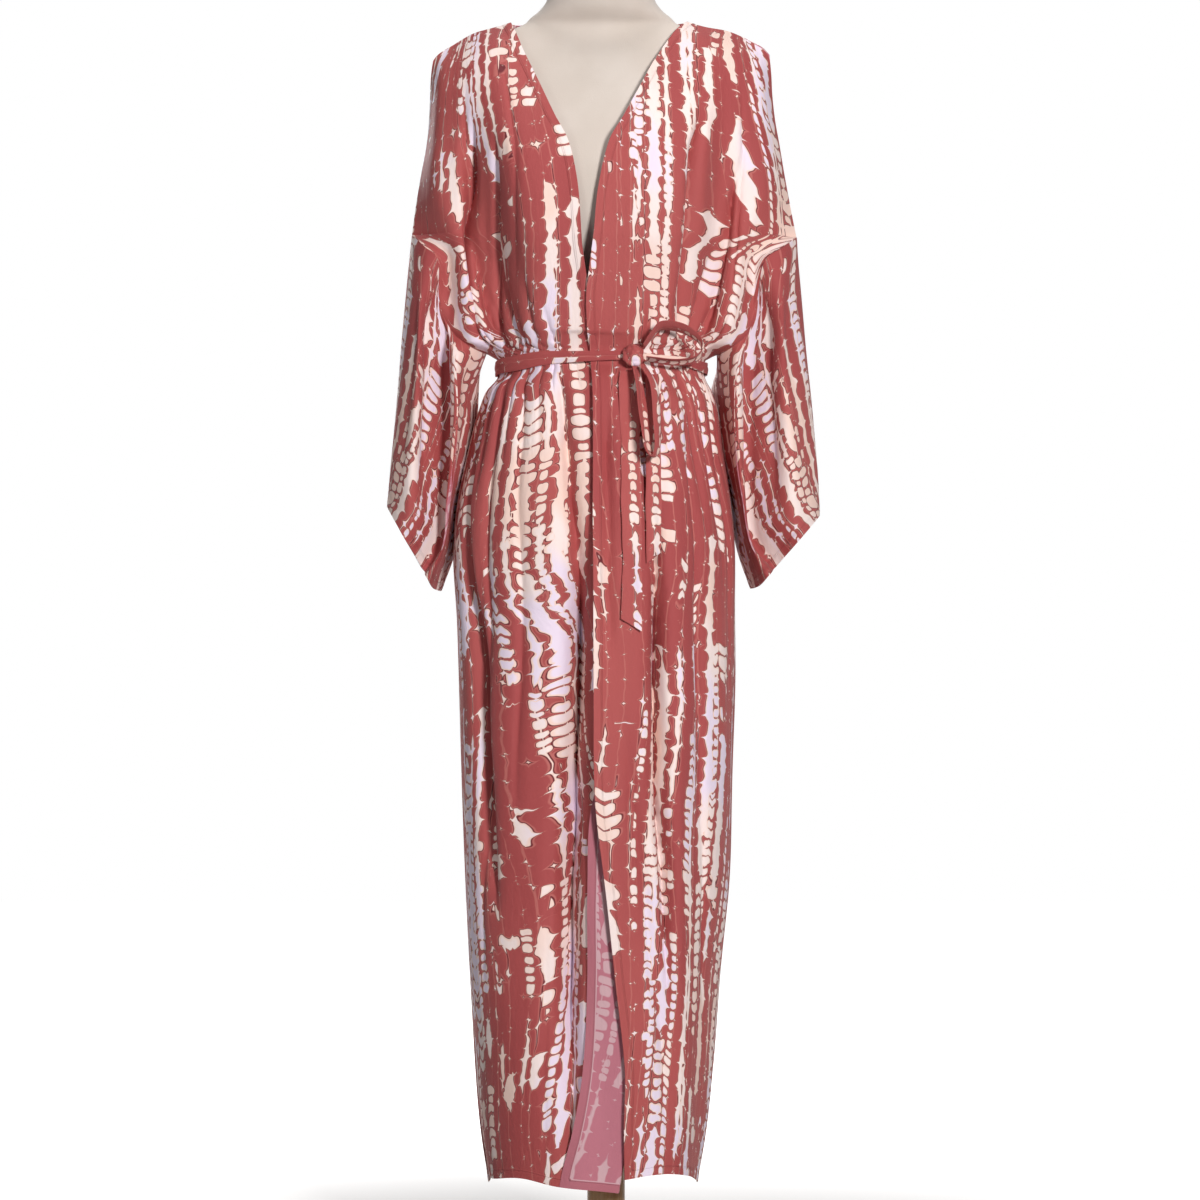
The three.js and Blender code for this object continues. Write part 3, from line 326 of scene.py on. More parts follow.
FOLDS_BACK = folds([
    [0.5, 0.5, 0.02, 0.04, 8, 300, 380, 700, 1250],
    [0.4, 0.37, 0.02, 0.04, 10, 432, 500, 900, 1380],
    [0.61, 0.65, 0.02, 0.045, 12, 432, 500, 900, 1380],
    [0.3, 0.22, 0.02, 0.04, 9, 430, 480, 800, 1150],
    [0.72, 0.8, 0.02, 0.04, 8, 430, 480, 850, 1200],
    [0.45, 0.44, 0.015, 0.02, 6, 430, 450, 480, 600],
    [0.55, 0.56, 0.015, 0.02, 6, 430, 450, 480, 600],
    [0.36, 0.3, 0.02, 0.016, 7, 250, 340, 400, 420],
    [0.66, 0.7, 0.02, 0.016, 7, 250, 340, 400, 420],
    [0.44, 0.43, 0.018, 0.015, 5, 310, 370, 400, 420],
    [0.57, 0.58, 0.018, 0.015, 5, 310, 370, 400, 420],
])

SLEEVE_RIGHT = table([
    ["along", "out_x", "out_z", "in_x", "in_z", "crease_x", "ridge", "crease", "inner", "back_y"],
    [0.16, -228, 1136, -156, 1006, -189, 54, 20, 52, 56],
    [0.36, -235, 1062, -158, 964, -188, 55, 13, 50, 56],
    [0.56, -241, 992, -165, 920, -188, 53, 11, 46, 54],
    [0.76, -247, 922, -175, 870, -189, 49, 10, 38, 50],
    [0.9, -250, 886, -181, 822, -193, 45, 10, 32, 46],
    [1, -251, 872, -198, 778, -212, 40, 12, 26, 42],
])

SLEEVE_LEFT = table([
    ["along", "out_x", "out_z", "in_x", "in_z", "crease_x", "ridge", "crease", "inner", "back_y"],
    [0.16, 222, 1132, 130, 1004, 170, 56, 20, 54, 56],
    [0.36, 228, 1062, 133, 962, 167, 56, 14, 52, 56],
    [0.56, 237, 992, 139, 920, 166, 54, 12, 47, 54],
    [0.76, 243, 922, 149, 876, 167, 50, 10, 40, 50],
    [0.9, 245, 880, 158, 826, 174, 46, 10, 33, 46],
    [1, 245, 862, 176, 781, 196, 41, 12, 27, 42],
])

FORM = table([
    ["z", "half_width", "front", "back", "square"],
    [NECK_TOP_Z, 61, -49, 60, 2.2],
    [1455, 62, -49, 60, 2.1],
    [1442, 71, -45, 59, 1.8],
    [1434, 81, -37, 56, 1.6],
    [1427, 88, -27, 52, 1.5],
    [1418, 110, -24, 50, 1.5],
    [1408, 137, -27, 50, 1.55],
    [1397, 161, -33, 52, 1.65],
    [1386, 177, -41, 56, 1.8],
    [1370, 183, -51, 62, 2],
    [1345, 182, -68, 72, 2.2],
    [1300, 166, -96, 86, 2.25],
    [1250, 147, -120, 91, 2.25],
    [1200, 135, -122, 90, 2.25],
    [1150, 122, -105, 84, 2.25],
    [1100, 110, -92, 78, 2.25],
    [1045, 104, -86, 76, 2.25],
    [1000, 112, -90, 82, 2.25],
    [940, 128, -96, 92, 2.25],
    [880, 138, -99, 98, 2.25],
    [820, 142, -99, 100, 2.25],
    [770, 138, -94, 96, 2.25],
    [750, 130, -86, 88, 2.25],
    [FORM_BOTTOM_Z, 110, -70, 72, 2.25],
])

BELT_WIDTHS = table([
    ["turn", "width"],
    [-180, 16],
    [-110, 15],
    [-60, 17],
    [-40, 17],
    [-12, 12],
    [18, 9],
    [50, 10],
    [100, 14],
    [180, 16],
])

UPPER_LOOP = table([
    ["x", "y", "z", "wide_x", "wide_y", "wide_z"],
    [42.2, -121, 1048.6, 0, 1, -0.3],
    [51, -124, 1061, 0, 1, -0.4],
    [62, -124, 1072, 0, 1, -0.5],
    [84, -119, 1070, 0, 1, -0.6],
    [102, -110, 1060, 0, 1, -0.6],
    [108, -103, 1047, 0, 1, -0.5],
    [98, -104, 1036, 0, 1, -0.4],
    [74, -112, 1033, 0, 1, -0.3],
    [45, -118, 1037, 0, 1, -0.2],
])

HANGING_LOOP = table([
    ["x", "y", "z", "wide_x", "wide_y", "wide_z"],
    [33, -119, 1027.3, 0.5, 1, 0],
    [37, -136, 1004, 0.5, 1, 0],
    [42, -148, 965, 0.6, 1, 0],
    [46, -153, 935, 0.5, 1, 0],
    [53, -154, 925, 0.3, 1, 0],
    [58, -152, 938, 0.4, 1, 0],
    [57, -147, 970, 0.5, 1, 0],
    [54, -138, 1005, 0.5, 1, 0],
    [42, -122, 1029, 0.4, 1, 0],
])

TAIL_LONG = table([
    ["x", "z", "off", "wide_y"],
    [26.5, 1022, 2.6, 0.1],
    [25.5, 1000, 1.8, 0.05],
    [27, 950, 1.3, 0],
    [28, 880, 1.3, 0.1],
    [29, 800, 1.3, -0.05],
    [28, 737, 1.3, 0.05],
])

TAIL_SHORT = table([
    ["x", "z", "off", "wide_y"],
    [53, 1019, 6, -0.1],
    [53, 1000, 4, -0.1],
    [53, 950, 3, -0.1],
    [53, 880, 2.6, -0.1],
    [53, 812, 2.4, -0.1],
])

# Narrower creases than the solids have
CREASES_UNDER = folds([
    [0.12, 0.1, 0.012, 0.014, 2.5, 426, 436, 450, 520],
    [0.25, 0.22, 0.011, 0.014, 3, 426, 436, 455, 540],
    [0.33, 0.32, 0.012, 0.016, 3, 426, 436, 450, 560],
    [0.52, 0.53, 0.012, 0.018, 3.5, 426, 438, 470, 640],
    [0.64, 0.61, 0.011, 0.016, 3, 426, 436, 450, 520],
    [0.79, 0.78, 0.012, 0.016, 3.5, 426, 438, 460, 560],
    [0.95, 0.93, 0.012, 0.02, 3, 426, 438, 480, 640],
    [0.66, 0.7, 0.02, 0.03, 4, 600, 760, 1000, 1200],
    [0.42, 0.47, 0.02, 0.03, 5, 470, 560, 800, 1000],
    [0.5, 0.66, 0.03, 0.04, 22, 120, 220, 385, 418],
    [0.36, 0.5, 0.016, 0.018, 9, 150, 220, 385, 418],
    [0.3, 0.34, 0.02, 0.03, 3, 900, 1050, 1200, 1380],
    [0.2, 0.17, 0.012, 0.01, 3, 360, 395, 410, 420],
    [0.36, 0.33, 0.012, 0.01, 3.5, 350, 390, 410, 420],
    [0.52, 0.46, 0.013, 0.01, 4, 340, 385, 410, 420],
    [0.64, 0.57, 0.012, 0.01, 3.5, 350, 390, 410, 420],
    [0.2, 0.35, 0.025, 0.018, 3, 40, 140, 260, 380],
    [0.55, 0.62, 0.03, 0.02, 5, 60, 180, 300, 400],
])
CREASES_OVER = folds([
    [0.12, 0.1, 0.012, 0.014, 2.5, 426, 436, 450, 520],
    [0.22, 0.24, 0.011, 0.014, 3, 426, 436, 455, 560],
    [0.34, 0.36, 0.012, 0.016, 3.5, 426, 436, 470, 600],
    [0.44, 0.47, 0.012, 0.016, 3, 426, 436, 450, 540],
    [0.57, 0.6, 0.012, 0.018, 3.5, 426, 438, 460, 600],
    [0.7, 0.72, 0.011, 0.016, 3, 426, 436, 450, 520],
    [0.86, 0.86, 0.012, 0.018, 3.5, 426, 438, 470, 640],
    [0.95, 0.96, 0.012, 0.02, 3, 426, 438, 480, 600],
    [0.46, 0.62, 0.02, 0.035, 4, 640, 800, 1000, 1250],
    [0.24, 0.27, 0.016, 0.02, 3, 520, 640, 900, 1200],
    [0.3, 0.36, 0.028, 0.03, 20, 110, 200, 385, 418],
    [0.45, 0.5, 0.02, 0.03, 5, 470, 560, 800, 1000],
    [0.2, 0.17, 0.012, 0.01, 3, 360, 395, 410, 420],
    [0.38, 0.34, 0.012, 0.01, 3.5, 350, 390, 410, 420],
    [0.55, 0.46, 0.013, 0.01, 4, 340, 385, 410, 420],
    [0.68, 0.57, 0.012, 0.01, 3.5, 350, 390, 410, 420],
    [0.25, 0.4, 0.03, 0.02, 4, 40, 140, 260, 380],
    [0.6, 0.66, 0.03, 0.02, 5, 60, 180, 300, 400],
])
CREASES_BACK = folds([
    [0.34, 0.33, 0.008, 0.01, 3, 426, 436, 460, 560],
    [0.41, 0.41, 0.008, 0.01, 3, 426, 436, 450, 540],
    [0.5, 0.5, 0.008, 0.012, 3.5, 426, 438, 470, 600],
    [0.59, 0.6, 0.008, 0.01, 3, 426, 436, 450, 560],
    [0.68, 0.69, 0.008, 0.012, 3, 426, 436, 460, 540],
    [0.2, 0.16, 0.01, 0.014, 3, 426, 440, 480, 640],
    [0.8, 0.84, 0.01, 0.014, 3, 426, 440, 480, 640],
    [0.3, 0.32, 0.008, 0.007, 3, 350, 390, 410, 420],
    [0.4, 0.41, 0.008, 0.007, 3, 350, 390, 410, 420],
    [0.62, 0.61, 0.008, 0.007, 3, 350, 390, 410, 420],
    [0.7, 0.68, 0.008, 0.007, 3, 350, 390, 410, 420],
    [0.33, 0.4, 0.02, 0.014, 4, 60, 180, 300, 400],
    [0.66, 0.6, 0.02, 0.014, 4, 60, 180, 300, 400],
])

# The same for a sleeve: across counts round it from its outer fold, and down from 0 at the seam to 1
CREASES_SLEEVE = folds([
    [0.1, 0.06, 0.02, 0.03, 4, 0.05, 0.3, 0.6, 0.95],
    [0.19, 0.17, 0.02, 0.03, 9, 0.03, 0.2, 0.6, 0.95],
    [0.29, 0.27, 0.02, 0.024, 13, 0.02, 0.1, 0.8, 1.1],
    [0.38, 0.36, 0.02, 0.025, 6, 0.02, 0.2, 0.6, 0.98],
    [0.45, 0.46, 0.015, 0.02, 3, 0.1, 0.3, 0.55, 0.85],
    [0.62, 0.65, 0.02, 0.03, 5, 0.05, 0.3, 0.65, 1.0],
    [0.75, 0.74, 0.015, 0.025, 4, 0.1, 0.35, 0.6, 0.9],
    [0.88, 0.91, 0.02, 0.02, 4, 0.05, 0.25, 0.55, 0.9],
])


def smooth(start, end, value):
    t = np.clip((np.asarray(value, float) - start) / (end - start), 0, 1)
    return t * t * (3 - 2 * t)


def mix(a, b, t):
    return a + (b - a) * t


def points(x, y, z):
    return np.stack(np.broadcast_arrays(x, y, z), axis=-1).astype(float)


def through(knots, values, at):
    """A smooth curve through values, which are numbers or points, at rising knots."""
    knots, values, at = (np.asarray(item, float) for item in (knots, values, at))
    last = len(knots) - 1
    steps = np.arange(last + 1)
    low, high = np.maximum(steps - 1, 0), np.minimum(steps + 1, last)
    wide = (slice(None),) + (None,) * (values.ndim - 1)
    slope = (values[high] - values[low]) / (knots[high] - knots[low])[wide]
    i = np.clip(np.searchsorted(knots, at) - 1, 0, last - 1)
    spread = at.shape + (1,) * (values.ndim - 1)
    span = (knots[i + 1] - knots[i]).reshape(spread)
    t = np.clip((at.reshape(spread) - knots[i].reshape(spread)) / span, 0, 1)
    start = values[i] * (1 + 2 * t) * (1 - t) ** 2 + slope[i] * span * t * (1 - t) ** 2
    end = values[i + 1] * (3 - 2 * t) * t * t + slope[i + 1] * span * t * t * (t - 1)
    return start + end


def look_up(rows, key, name, at):
    order = np.argsort(rows[key])
    return through(rows[key][order], rows[name][order], at)


def on_loop(knots, places, at):
    """A closed smooth loop through places, with knots from 0 up to, but without, 1."""
    knots = np.concatenate([knots - 1, knots, knots + 1])
    return through(knots, np.concatenate([places] * 3), at)


def oval(sizes, squareness, turn):
    """A point of an oval section, turned from the front (0) to the side at +X (pi / 2)."""
    power = 2 / squareness
    s, c = np.sin(turn), np.cos(turn)
    middle = (sizes["left"] + sizes["right"]) / 2
    half = (sizes["left"] - sizes["right"]) / 2
    depth = np.where(c > 0, sizes["front"], sizes["back"])
    x = middle + half * np.sign(s) * np.abs(s) ** power
    return points(x, depth * np.abs(c) ** power, sizes["z"])


def skirt_sizes(z):
    z = np.asarray(z, float)
    return {"z": z, **{name: look_up(SKIRT, "z", name, z) for name in ("left", "right", "front", "back")}}


def turn_at_x(sizes, x):
    middle = (sizes["left"] + sizes["right"]) / 2
    half = (sizes["left"] - sizes["right"]) / 2
    share = np.clip((x - middle) / half, -1, 1)
    return np.arcsin(np.sign(share) * np.abs(share) ** (SKIRT_SQUARENESS / 2))


def skirt_edge(name, z):
    return look_up(SKIRT_EDGES, "z", name, z)


def belt_dip(turn, z):
    return BELT_DIP * np.sin(turn) ** 2 * smooth(960, 1030, z)


def skirt_section(z, from_turn, to_turn, shares):
    turn = mix(from_turn, to_turn, np.asarray(shares))
    place = oval(skirt_sizes(np.full_like(turn, z)), SKIRT_SQUARENESS, turn)
    place[:, 2] -= belt_dip(turn, z)
    return place


def half_seam(seam, is_back):
    """The rounds and the downs of a seam's half, from the fold to the underarm."""
    rounds = seam["round"]
    keep = (rounds >= 0.5) | (rounds == 0) if is_back else rounds <= 0.5
    r, d = rounds[keep], seam["down"][keep]
    r = np.where(r == 0, 1, r) if is_back else r
    order = np.argsort(d)
    return r[order], d[order]


def side_line(fold, seam, side, is_back):
    """The seam or fold line that ends the sections on one side of the body, by down."""
    rounds, downs = half_seam(seam, is_back)
    places = points(seam["x"], seam["y"], seam["z"])
    fold_end, underarm = seam["down"][0], seam["down"].max()
    start = places[list(seam["round"]).index(0.5)]

    def line(down):
        down = np.asarray(down, float)
        on_fold = points(look_up(fold, "down", "x", down), 0, look_up(fold, "down", "z", down))
        on_seam = on_loop(seam["round"], places, np.interp(down, downs, rounds) % 1)
        z = DOWN_PLUS_Z - down
        at_belt = np.minimum(z, BELT_Z)
        skirt = oval(skirt_sizes(at_belt), SKIRT_SQUARENESS, np.full_like(z, side * math.pi / 2))
        skirt[:, 2] = z - belt_dip(math.pi / 2, at_belt)
        below = mix(start, skirt, smooth(underarm, underarm + 5, down)[:, None])
        above = np.where((down <= fold_end)[:, None], on_fold, on_seam)
        return np.where((down < underarm)[:, None], above, below)

    return line


def on_shoulder(shoulder, side, place):
    """Points of a top edge, moved onto the shoulder line where they lie beside the neck."""
    inner = np.abs(shoulder["x"] - MIDDLE_X).min()
    beside = side * (place[:, 0] - MIDDLE_X) >= inner
    x = place[:, 0]
    moved = points(x, look_up(shoulder, "x", "y", x), look_up(shoulder, "x", "z", x))
    return np.where(beside[:, None], moved, place)


def net_grid(net, at_down, at_across):
    """The smooth surface of a net of section points, as a grid of rows by down and columns by across."""
    sections = np.array(net["sections"])
    rows = through(net["knots"], sections.transpose(1, 0, 2), at_across).transpose(1, 0, 2)
    grid = through(net["downs"], rows, at_down)
    for end, line in enumerate(net["lines"]):
        if line:
            miss = line(at_down) - through(net["downs"], sections[:, -end], at_down)
            grid += miss[:, None] * ((at_across if end else 1 - at_across) ** 4)[None, :, None]
    moved = net["top"](grid[0]) - grid[0]
    fade = 1 - smooth(0, TOP_REACH, at_down)
    return grid + moved[None] * fade[:, None, None]


def front_net(side, edge, edge_name, fold, seam, shoulder):
    knots = np.array([0, 0.26, 0.48, 0.66, 0.83, 1])
    line = side_line(fold, seam, side, False)
    ends = line(BODICE_FRONT["down"])
    sections = []
    for i, end in enumerate(ends):
        section = [points(edge["x"][i], edge["y"][i], edge["z"][i])]
        for name, share in zip(("chest", "arm", "strip", "recess"), knots[1:]):
            z = mix(edge["z"][i], end[2], share) + BODICE_FRONT["rise"][i] * 4 * share * (1 - share)
            x = MIDDLE_X + side * BODICE_FRONT[name + "_x"][i]
            section.append(points(x, BODICE_FRONT[name + "_y"][i], z))
        sections.append(section + [end])
    for z in SKIRT["z"]:
        start = turn_at_x(skirt_sizes(z), skirt_edge(edge_name, z))
        sections.append(skirt_section(z, start, side * math.pi / 2, knots))
    downs = np.concatenate([BODICE_FRONT["down"], DOWN_PLUS_Z - SKIRT["z"]])
    top = lambda place: on_shoulder(shoulder, side, place)
    return {"downs": downs, "knots": knots, "sections": sections, "lines": [None, line], "top": top}


def back_net():
    knots = np.array([0, 0.08, 0.18, 0.28, 0.38, 0.5, 0.62, 0.72, 0.82, 0.92, 1])
    lines = [side_line(FOLD_RIGHT, SEAM_RIGHT, -1, True), side_line(FOLD_LEFT, SEAM_LEFT, 1, True)]
    ends = [line(BODICE_BACK["down"]) for line in lines]
    sections = []
    for i, middle_z in enumerate(EDGE_UNDER["z"]):
        halves = []
        for side, end in zip((-1, 1), ends):
            half = []
            for name, share in (("nape", 0.1), ("blade", 0.36), ("arm", 0.62), ("wing", 0.84)):
                z = mix(middle_z, end[i][2], share) + BODICE_BACK["rise"][i] * 4 * share * (1 - share)
                x = MIDDLE_X + side * BODICE_BACK[name + "_x"][i]
                half.append(points(x, BODICE_BACK[name + "_y"][i], z))
            halves.append(half + [end[i]])
        middle = points(MIDDLE_X, BODICE_BACK["middle_y"][i], middle_z)
        sections.append(halves[0][::-1] + [middle] + halves[1])
    for z in SKIRT["z"]:
        sections.append(skirt_section(z, -math.pi / 2, -1.5 * math.pi, knots))
    downs = np.concatenate([BODICE_BACK["down"], DOWN_PLUS_Z - SKIRT["z"]])
    top = lambda place: on_shoulder(SHOULDER_LEFT, 1, on_shoulder(SHOULDER_RIGHT, -1, place))
    return {"downs": downs, "knots": knots, "sections": sections, "lines": lines, "top": top}


def row_of(rows, i):
    return {name: values[i] for name, values in rows.items()}


def sink(creases, down, across):
    """How far the folds sink the cloth. Each wanders a little and has one steeper side."""
    total = np.zeros(np.broadcast(down, across).shape)
    for i in range(len(creases["top"])):
        fold = row_of(creases, i)
        along = np.clip((down - fold["from"]) / (fold["to"] - fold["from"]), 0, 1)
        strength = smooth(fold["from"], fold["full"], down)
        strength = strength * (1 - smooth(fold["fade"], fold["to"], down))
        width = mix(fold["width"], fold["foot_width"], along)
        wander = 0.12 * width * np.sin(down / 61 + 1.7 * i) + 0.08 * width * np.sin(down / 23 + i)
        off = (across - mix(fold["top"], fold["foot"], along) - wander) / width
        steep = np.where((off > 0) == (i % 2 == 0), *FOLD_SIDES)
        total = total + fold["depth"] * strength * np.exp(-np.abs(off * steep) ** FOLD_SHARPNESS)
    return total


def ripple(place):
    """Small soft unevenness, the same for all layers at a place."""
    x, y, z = place[..., 0], place[..., 1], place[..., 2]
    return (
        0.9 * np.sin(x / 17 + z / 130) * np.sin(z / 83 + y / 40)
        + 0.6 * np.sin(x / 9.5 - z / 71 + y / 23)
        + 0.5 * np.sin(z / 37 + x / 31) * np.sin(y / 19 + x / 13)
    )


def unit(vectors):
    return vectors / np.maximum(np.linalg.norm(vectors, axis=-1, keepdims=True), 1e-9)


def pairs(a, b):
    return np.stack(np.broadcast_arrays(a, b), axis=-1)


def normals(grid, wraps=False):
    if wraps:
        across = np.roll(grid, -1, axis=1) - np.roll(grid, 1, axis=1)
    else:
        across = np.gradient(grid, axis=1)
    return unit(np.cross(across, np.gradient(grid, axis=0)))


def body_rows(seam, is_back):
    """Downs of a body piece's rows from shoulder to hem, evenly along the armhole too."""
    rounds, downs = half_seam(seam, is_back)
    from_fold = 1 - rounds if is_back else rounds
    armhole = np.interp(np.linspace(0, 0.5, ARMHOLE_STEPS), from_fold, downs)
    underarm = downs.max()
    hem = DOWN_PLUS_Z - HEM_Z
    return np.concatenate([
        np.arange(0, downs.min() - 2, 5.0),
        armhole,
        np.arange(underarm + 1.5, underarm + 30, 2.5),
        np.arange(underarm + 32, hem - 4, 5.5),
        [hem],
    ])


def hem_shift(hem, down, across):
    lower = look_up(hem, "across", "z", across) - HEM_Z
    return lower[None, :] * (1 - smooth(HEM_Z, HEM_Z + 160, DOWN_PLUS_Z - down))[:, None]


def over_lap(x, z):
    """How far the over front stands off the under front."""
    in_skirt = smooth(1040, 980, z)
    reach = mix(20, 74, in_skirt)
    height = mix(LAP + 3.8 * in_skirt, 2 * LAP + 4.2, smooth(860, 780, z))
    return height * (1 - smooth(reach, reach + 34, x)) * (1 - smooth(1120, 1200, z))


def sink_below_lap(down, x):
    """How far the over front's skirt folds press the layer under them."""
    z = DOWN_PLUS_Z - down
    sizes = skirt_sizes(np.minimum(z, BELT_Z))
    start = turn_at_x(sizes, skirt_edge("over_x", np.minimum(z, BELT_Z)))
    across = (turn_at_x(sizes, x) - start) / (math.pi / 2 - start)
    pressed = sink(FOLDS_OVER, down, across) + sink(CREASES_OVER, down, across)
    return np.where((across > 0) & (z <= BELT_Z), pressed, 0)


def shaped(net, hem, seam, is_back, columns, side, sunk):
    """Middle surface of a body piece: its net, its hem, and what sink tables and laps do to it."""
    down = body_rows(seam, is_back)
    across = np.linspace(0, 1, columns + 1)
    grid = net_grid(net, down, across)
    grid[..., 2] += hem_shift(hem, down, across)
    out = side * normals(grid)
    made = grid + out * (sunk(down[:, None], across[None, :], grid) + ripple(grid))[..., None]
    return down, made, grid, out


def flap(down, smooth_net, out):
    """The under front's free edge, which turns over on itself towards the viewer lower down."""
    z = np.minimum(DOWN_PLUS_Z - down, SKIRT_EDGES["z"].max())
    width = skirt_edge("flap", z)
    turn = np.clip(skirt_edge("turn", z), 0, 1) * math.pi
    bend = LAP / 2
    in_bend = np.linspace(0, 1, 9)[1:] * math.pi * bend
    shares = np.linspace(0, 1, 15)[1:]
    narrow = np.minimum(in_bend[-1], 0.6 * width)[:, None]
    far = np.concatenate([
        np.minimum(in_bend[None, :], width[:, None] * np.linspace(0, 0.6, 9)[1:]),
        narrow + (width[:, None] - narrow) * shares,
    ], axis=1)
    fold, n = smooth_net[:, 0], out[:, 0]
    forward = unit(fold - smooth_net[:, 1])
    angle = np.minimum(far / bend, turn[:, None])
    rest = np.maximum(0, far - turn[:, None] * bend)
    ahead = bend * np.sin(angle) + rest * np.cos(angle)
    up = bend * (1 - np.cos(angle)) + rest * np.sin(angle) - rest**2 / (2 * FRONT_ROUNDING)
    flying = 1.1 * np.sin(far / 11 + down[:, None] / 47) * smooth(10, 40, far)
    flying += 4 * smooth(30, 80, far) * smooth(400, 120, z)[:, None]
    made = fold[:, None] + ahead[..., None] * forward[:, None] + (up + flying)[..., None] * n[:, None]
    pressed = sink_below_lap(np.broadcast_to(down[:, None], made.shape[:2]), made[..., 0])
    made += (ripple(made) - pressed)[..., None] * n[:, None]
    return made[:, ::-1]


def trimmed(grid, top=0.0, start=0.0, end=0.0):
    """Draws a grid's last points back from its seams."""
    def pull(at, towards, gap):
        way = towards - at
        at += gap * way / np.maximum(np.linalg.norm(way, axis=-1, keepdims=True), 1e-9)

    pull(grid[:, 0], grid[:, 1].copy(), start)
    pull(grid[:, -1], grid[:, -2].copy(), end)
    pull(grid[0], grid[1].copy(), top)
    return grid


def lengths(grid, axis):
    """Distance along a grid from its first row or column to each point."""
    steps = np.linalg.norm(np.diff(grid, axis=axis), axis=-1)
    zero = np.zeros_like(np.take(steps, [0], axis=axis))
    return np.cumsum(np.concatenate([zero, steps], axis=axis), axis=axis)


def make_object(name, verts, faces, materials, face_material=None, uvs=(), sharp=50):
    mesh = bpy.data.meshes.new(name)
    mesh.from_pydata((np.asarray(verts) * MM).tolist(), [], [list(map(int, f)) for f in faces])
    for material in materials:
        mesh.materials.append(material)
    if face_material is not None:
        mesh.polygons.foreach_set("material_index", np.asarray(face_material, np.int32))
    for uv_name, values in uvs:
        layer = mesh.uv_layers.new(name=uv_name)
        layer.data.foreach_set("uv", (np.asarray(values) * MM).astype(np.float32).ravel())
    mesh.polygons.foreach_set("use_smooth", np.ones(len(mesh.polygons), bool))
    mesh.validate()
    mesh.set_sharp_from_angle(angle=math.radians(sharp))
    made = bpy.data.objects.new(name, mesh)
    bpy.context.scene.collection.objects.link(made)
    return made


def shell(name, middle, thickness, materials, side, cloth_uv, edge_uv, wraps=False):
    """A closed thin wall on a grid of middle points: printed outside, plain reverse inside."""
    rows, columns = middle.shape[:2]
    out = side * normals(middle, wraps)
    half = np.broadcast_to(thickness, (rows, columns))[..., None] / 2
    verts = np.concatenate([(middle + out * half).reshape(-1, 3), (middle - out * half).reshape(-1, 3)])
    last = columns if wraps else columns - 1
    r, c = (index.ravel() for index in np.meshgrid(np.arange(rows - 1), np.arange(last), indexing="ij"))
    corner_r = np.stack([r, r, r + 1, r + 1], axis=1)
    corner_c = np.stack([c, c + 1, c + 1, c], axis=1)

    def sheet(layer, rr, cc, backwards):
        parts = (layer * rows * columns + rr * columns + cc % columns, rr, cc)
        return [part[:, ::-1] if backwards else part for part in parts]

    sheets = [sheet(0, corner_r, corner_c, side < 0), sheet(1, corner_r, corner_c, side > 0)]
    rims = [
        (np.zeros(last + 1, int), np.arange(last + 1)),
        (np.full(last + 1, rows - 1), np.arange(last, -1, -1)),
    ]
    if not wraps:
        rims += [
            (np.arange(rows - 1, -1, -1), np.zeros(rows, int)),
            (np.arange(rows), np.full(rows, columns - 1)),
        ]
    for rim in rims:
        rr, cc = (np.stack([line[1:], line[:-1], line[:-1], line[1:]], axis=1) for line in rim)
        sheets.append(sheet(np.array([0, 0, 1, 1]), rr, cc, side < 0))
    faces, at_row, at_column = (np.concatenate([made[part] for made in sheets]) for part in range(3))
    kinds = np.concatenate([np.full(len(made[0]), int(k == 1)) for k, made in enumerate(sheets)])
    uvs = [("Cloth", cloth_uv[at_row, at_column]), ("Edge", edge_uv[at_row, at_column])]
    return make_object(name, verts, faces, materials, kinds, uvs)


# Materials


def srgb(r, g, b):
    """A colour seen as 0 to 255 red, green and blue, as Blender's linear values."""
    shares = (r / 255, g / 255, b / 255)
    linear = [(v / 12.92 if v <= 0.04045 else ((v + 0.055) / 1.055) ** 2.4) for v in shares]
    return (*linear, 1)


GROUND = srgb(178, 82, 80)
GROUND_DEEP = srgb(168, 72, 72)
HALO = srgb(190, 104, 98)
OUTLINE = srgb(112, 38, 44)
CREAM = srgb(253, 232, 227)
LILAC = srgb(244, 226, 243)
PEACH = srgb(250, 216, 203)
REVERSE = srgb(194, 118, 132)
REVERSE_PALE = srgb(214, 172, 178)
REVERSE_DEEP = srgb(184, 108, 120)
FORM_CREAM = srgb(214, 202, 192)
FORM_DEEP = srgb(206, 193, 182)
OAK = srgb(216, 184, 142)
OAK_DARK = srgb(186, 146, 100)


class Value:
    """A number in a material's node tree, so that sums are written as sums."""

    def __init__(self, graph, socket):
        self.graph = graph
        self.socket = socket

    def sum(self, operation, a, b=0.0):
        return Value(self.graph, self.graph.add("Math", {0: a, 1: b}, operation=operation))


def operator(operation, swapped=False):
    def made(self, other=0.0):
        return self.sum(operation, other, self) if swapped else self.sum(operation, self, other)

    return made


for name, operation in {
    "__add__": "ADD", "__radd__": "ADD", "__sub__": "SUBTRACT", "__mul__": "MULTIPLY",
    "__rmul__": "MULTIPLY", "__truediv__": "DIVIDE", "__pow__": "POWER", "__abs__": "ABSOLUTE",
    "floor": "FLOOR", "sign": "SIGN", "sine": "SINE", "least": "MINIMUM", "most": "MAXIMUM",
}.items():
    setattr(Value, name, operator(operation))
Value.__rsub__ = operator("SUBTRACT", swapped=True)


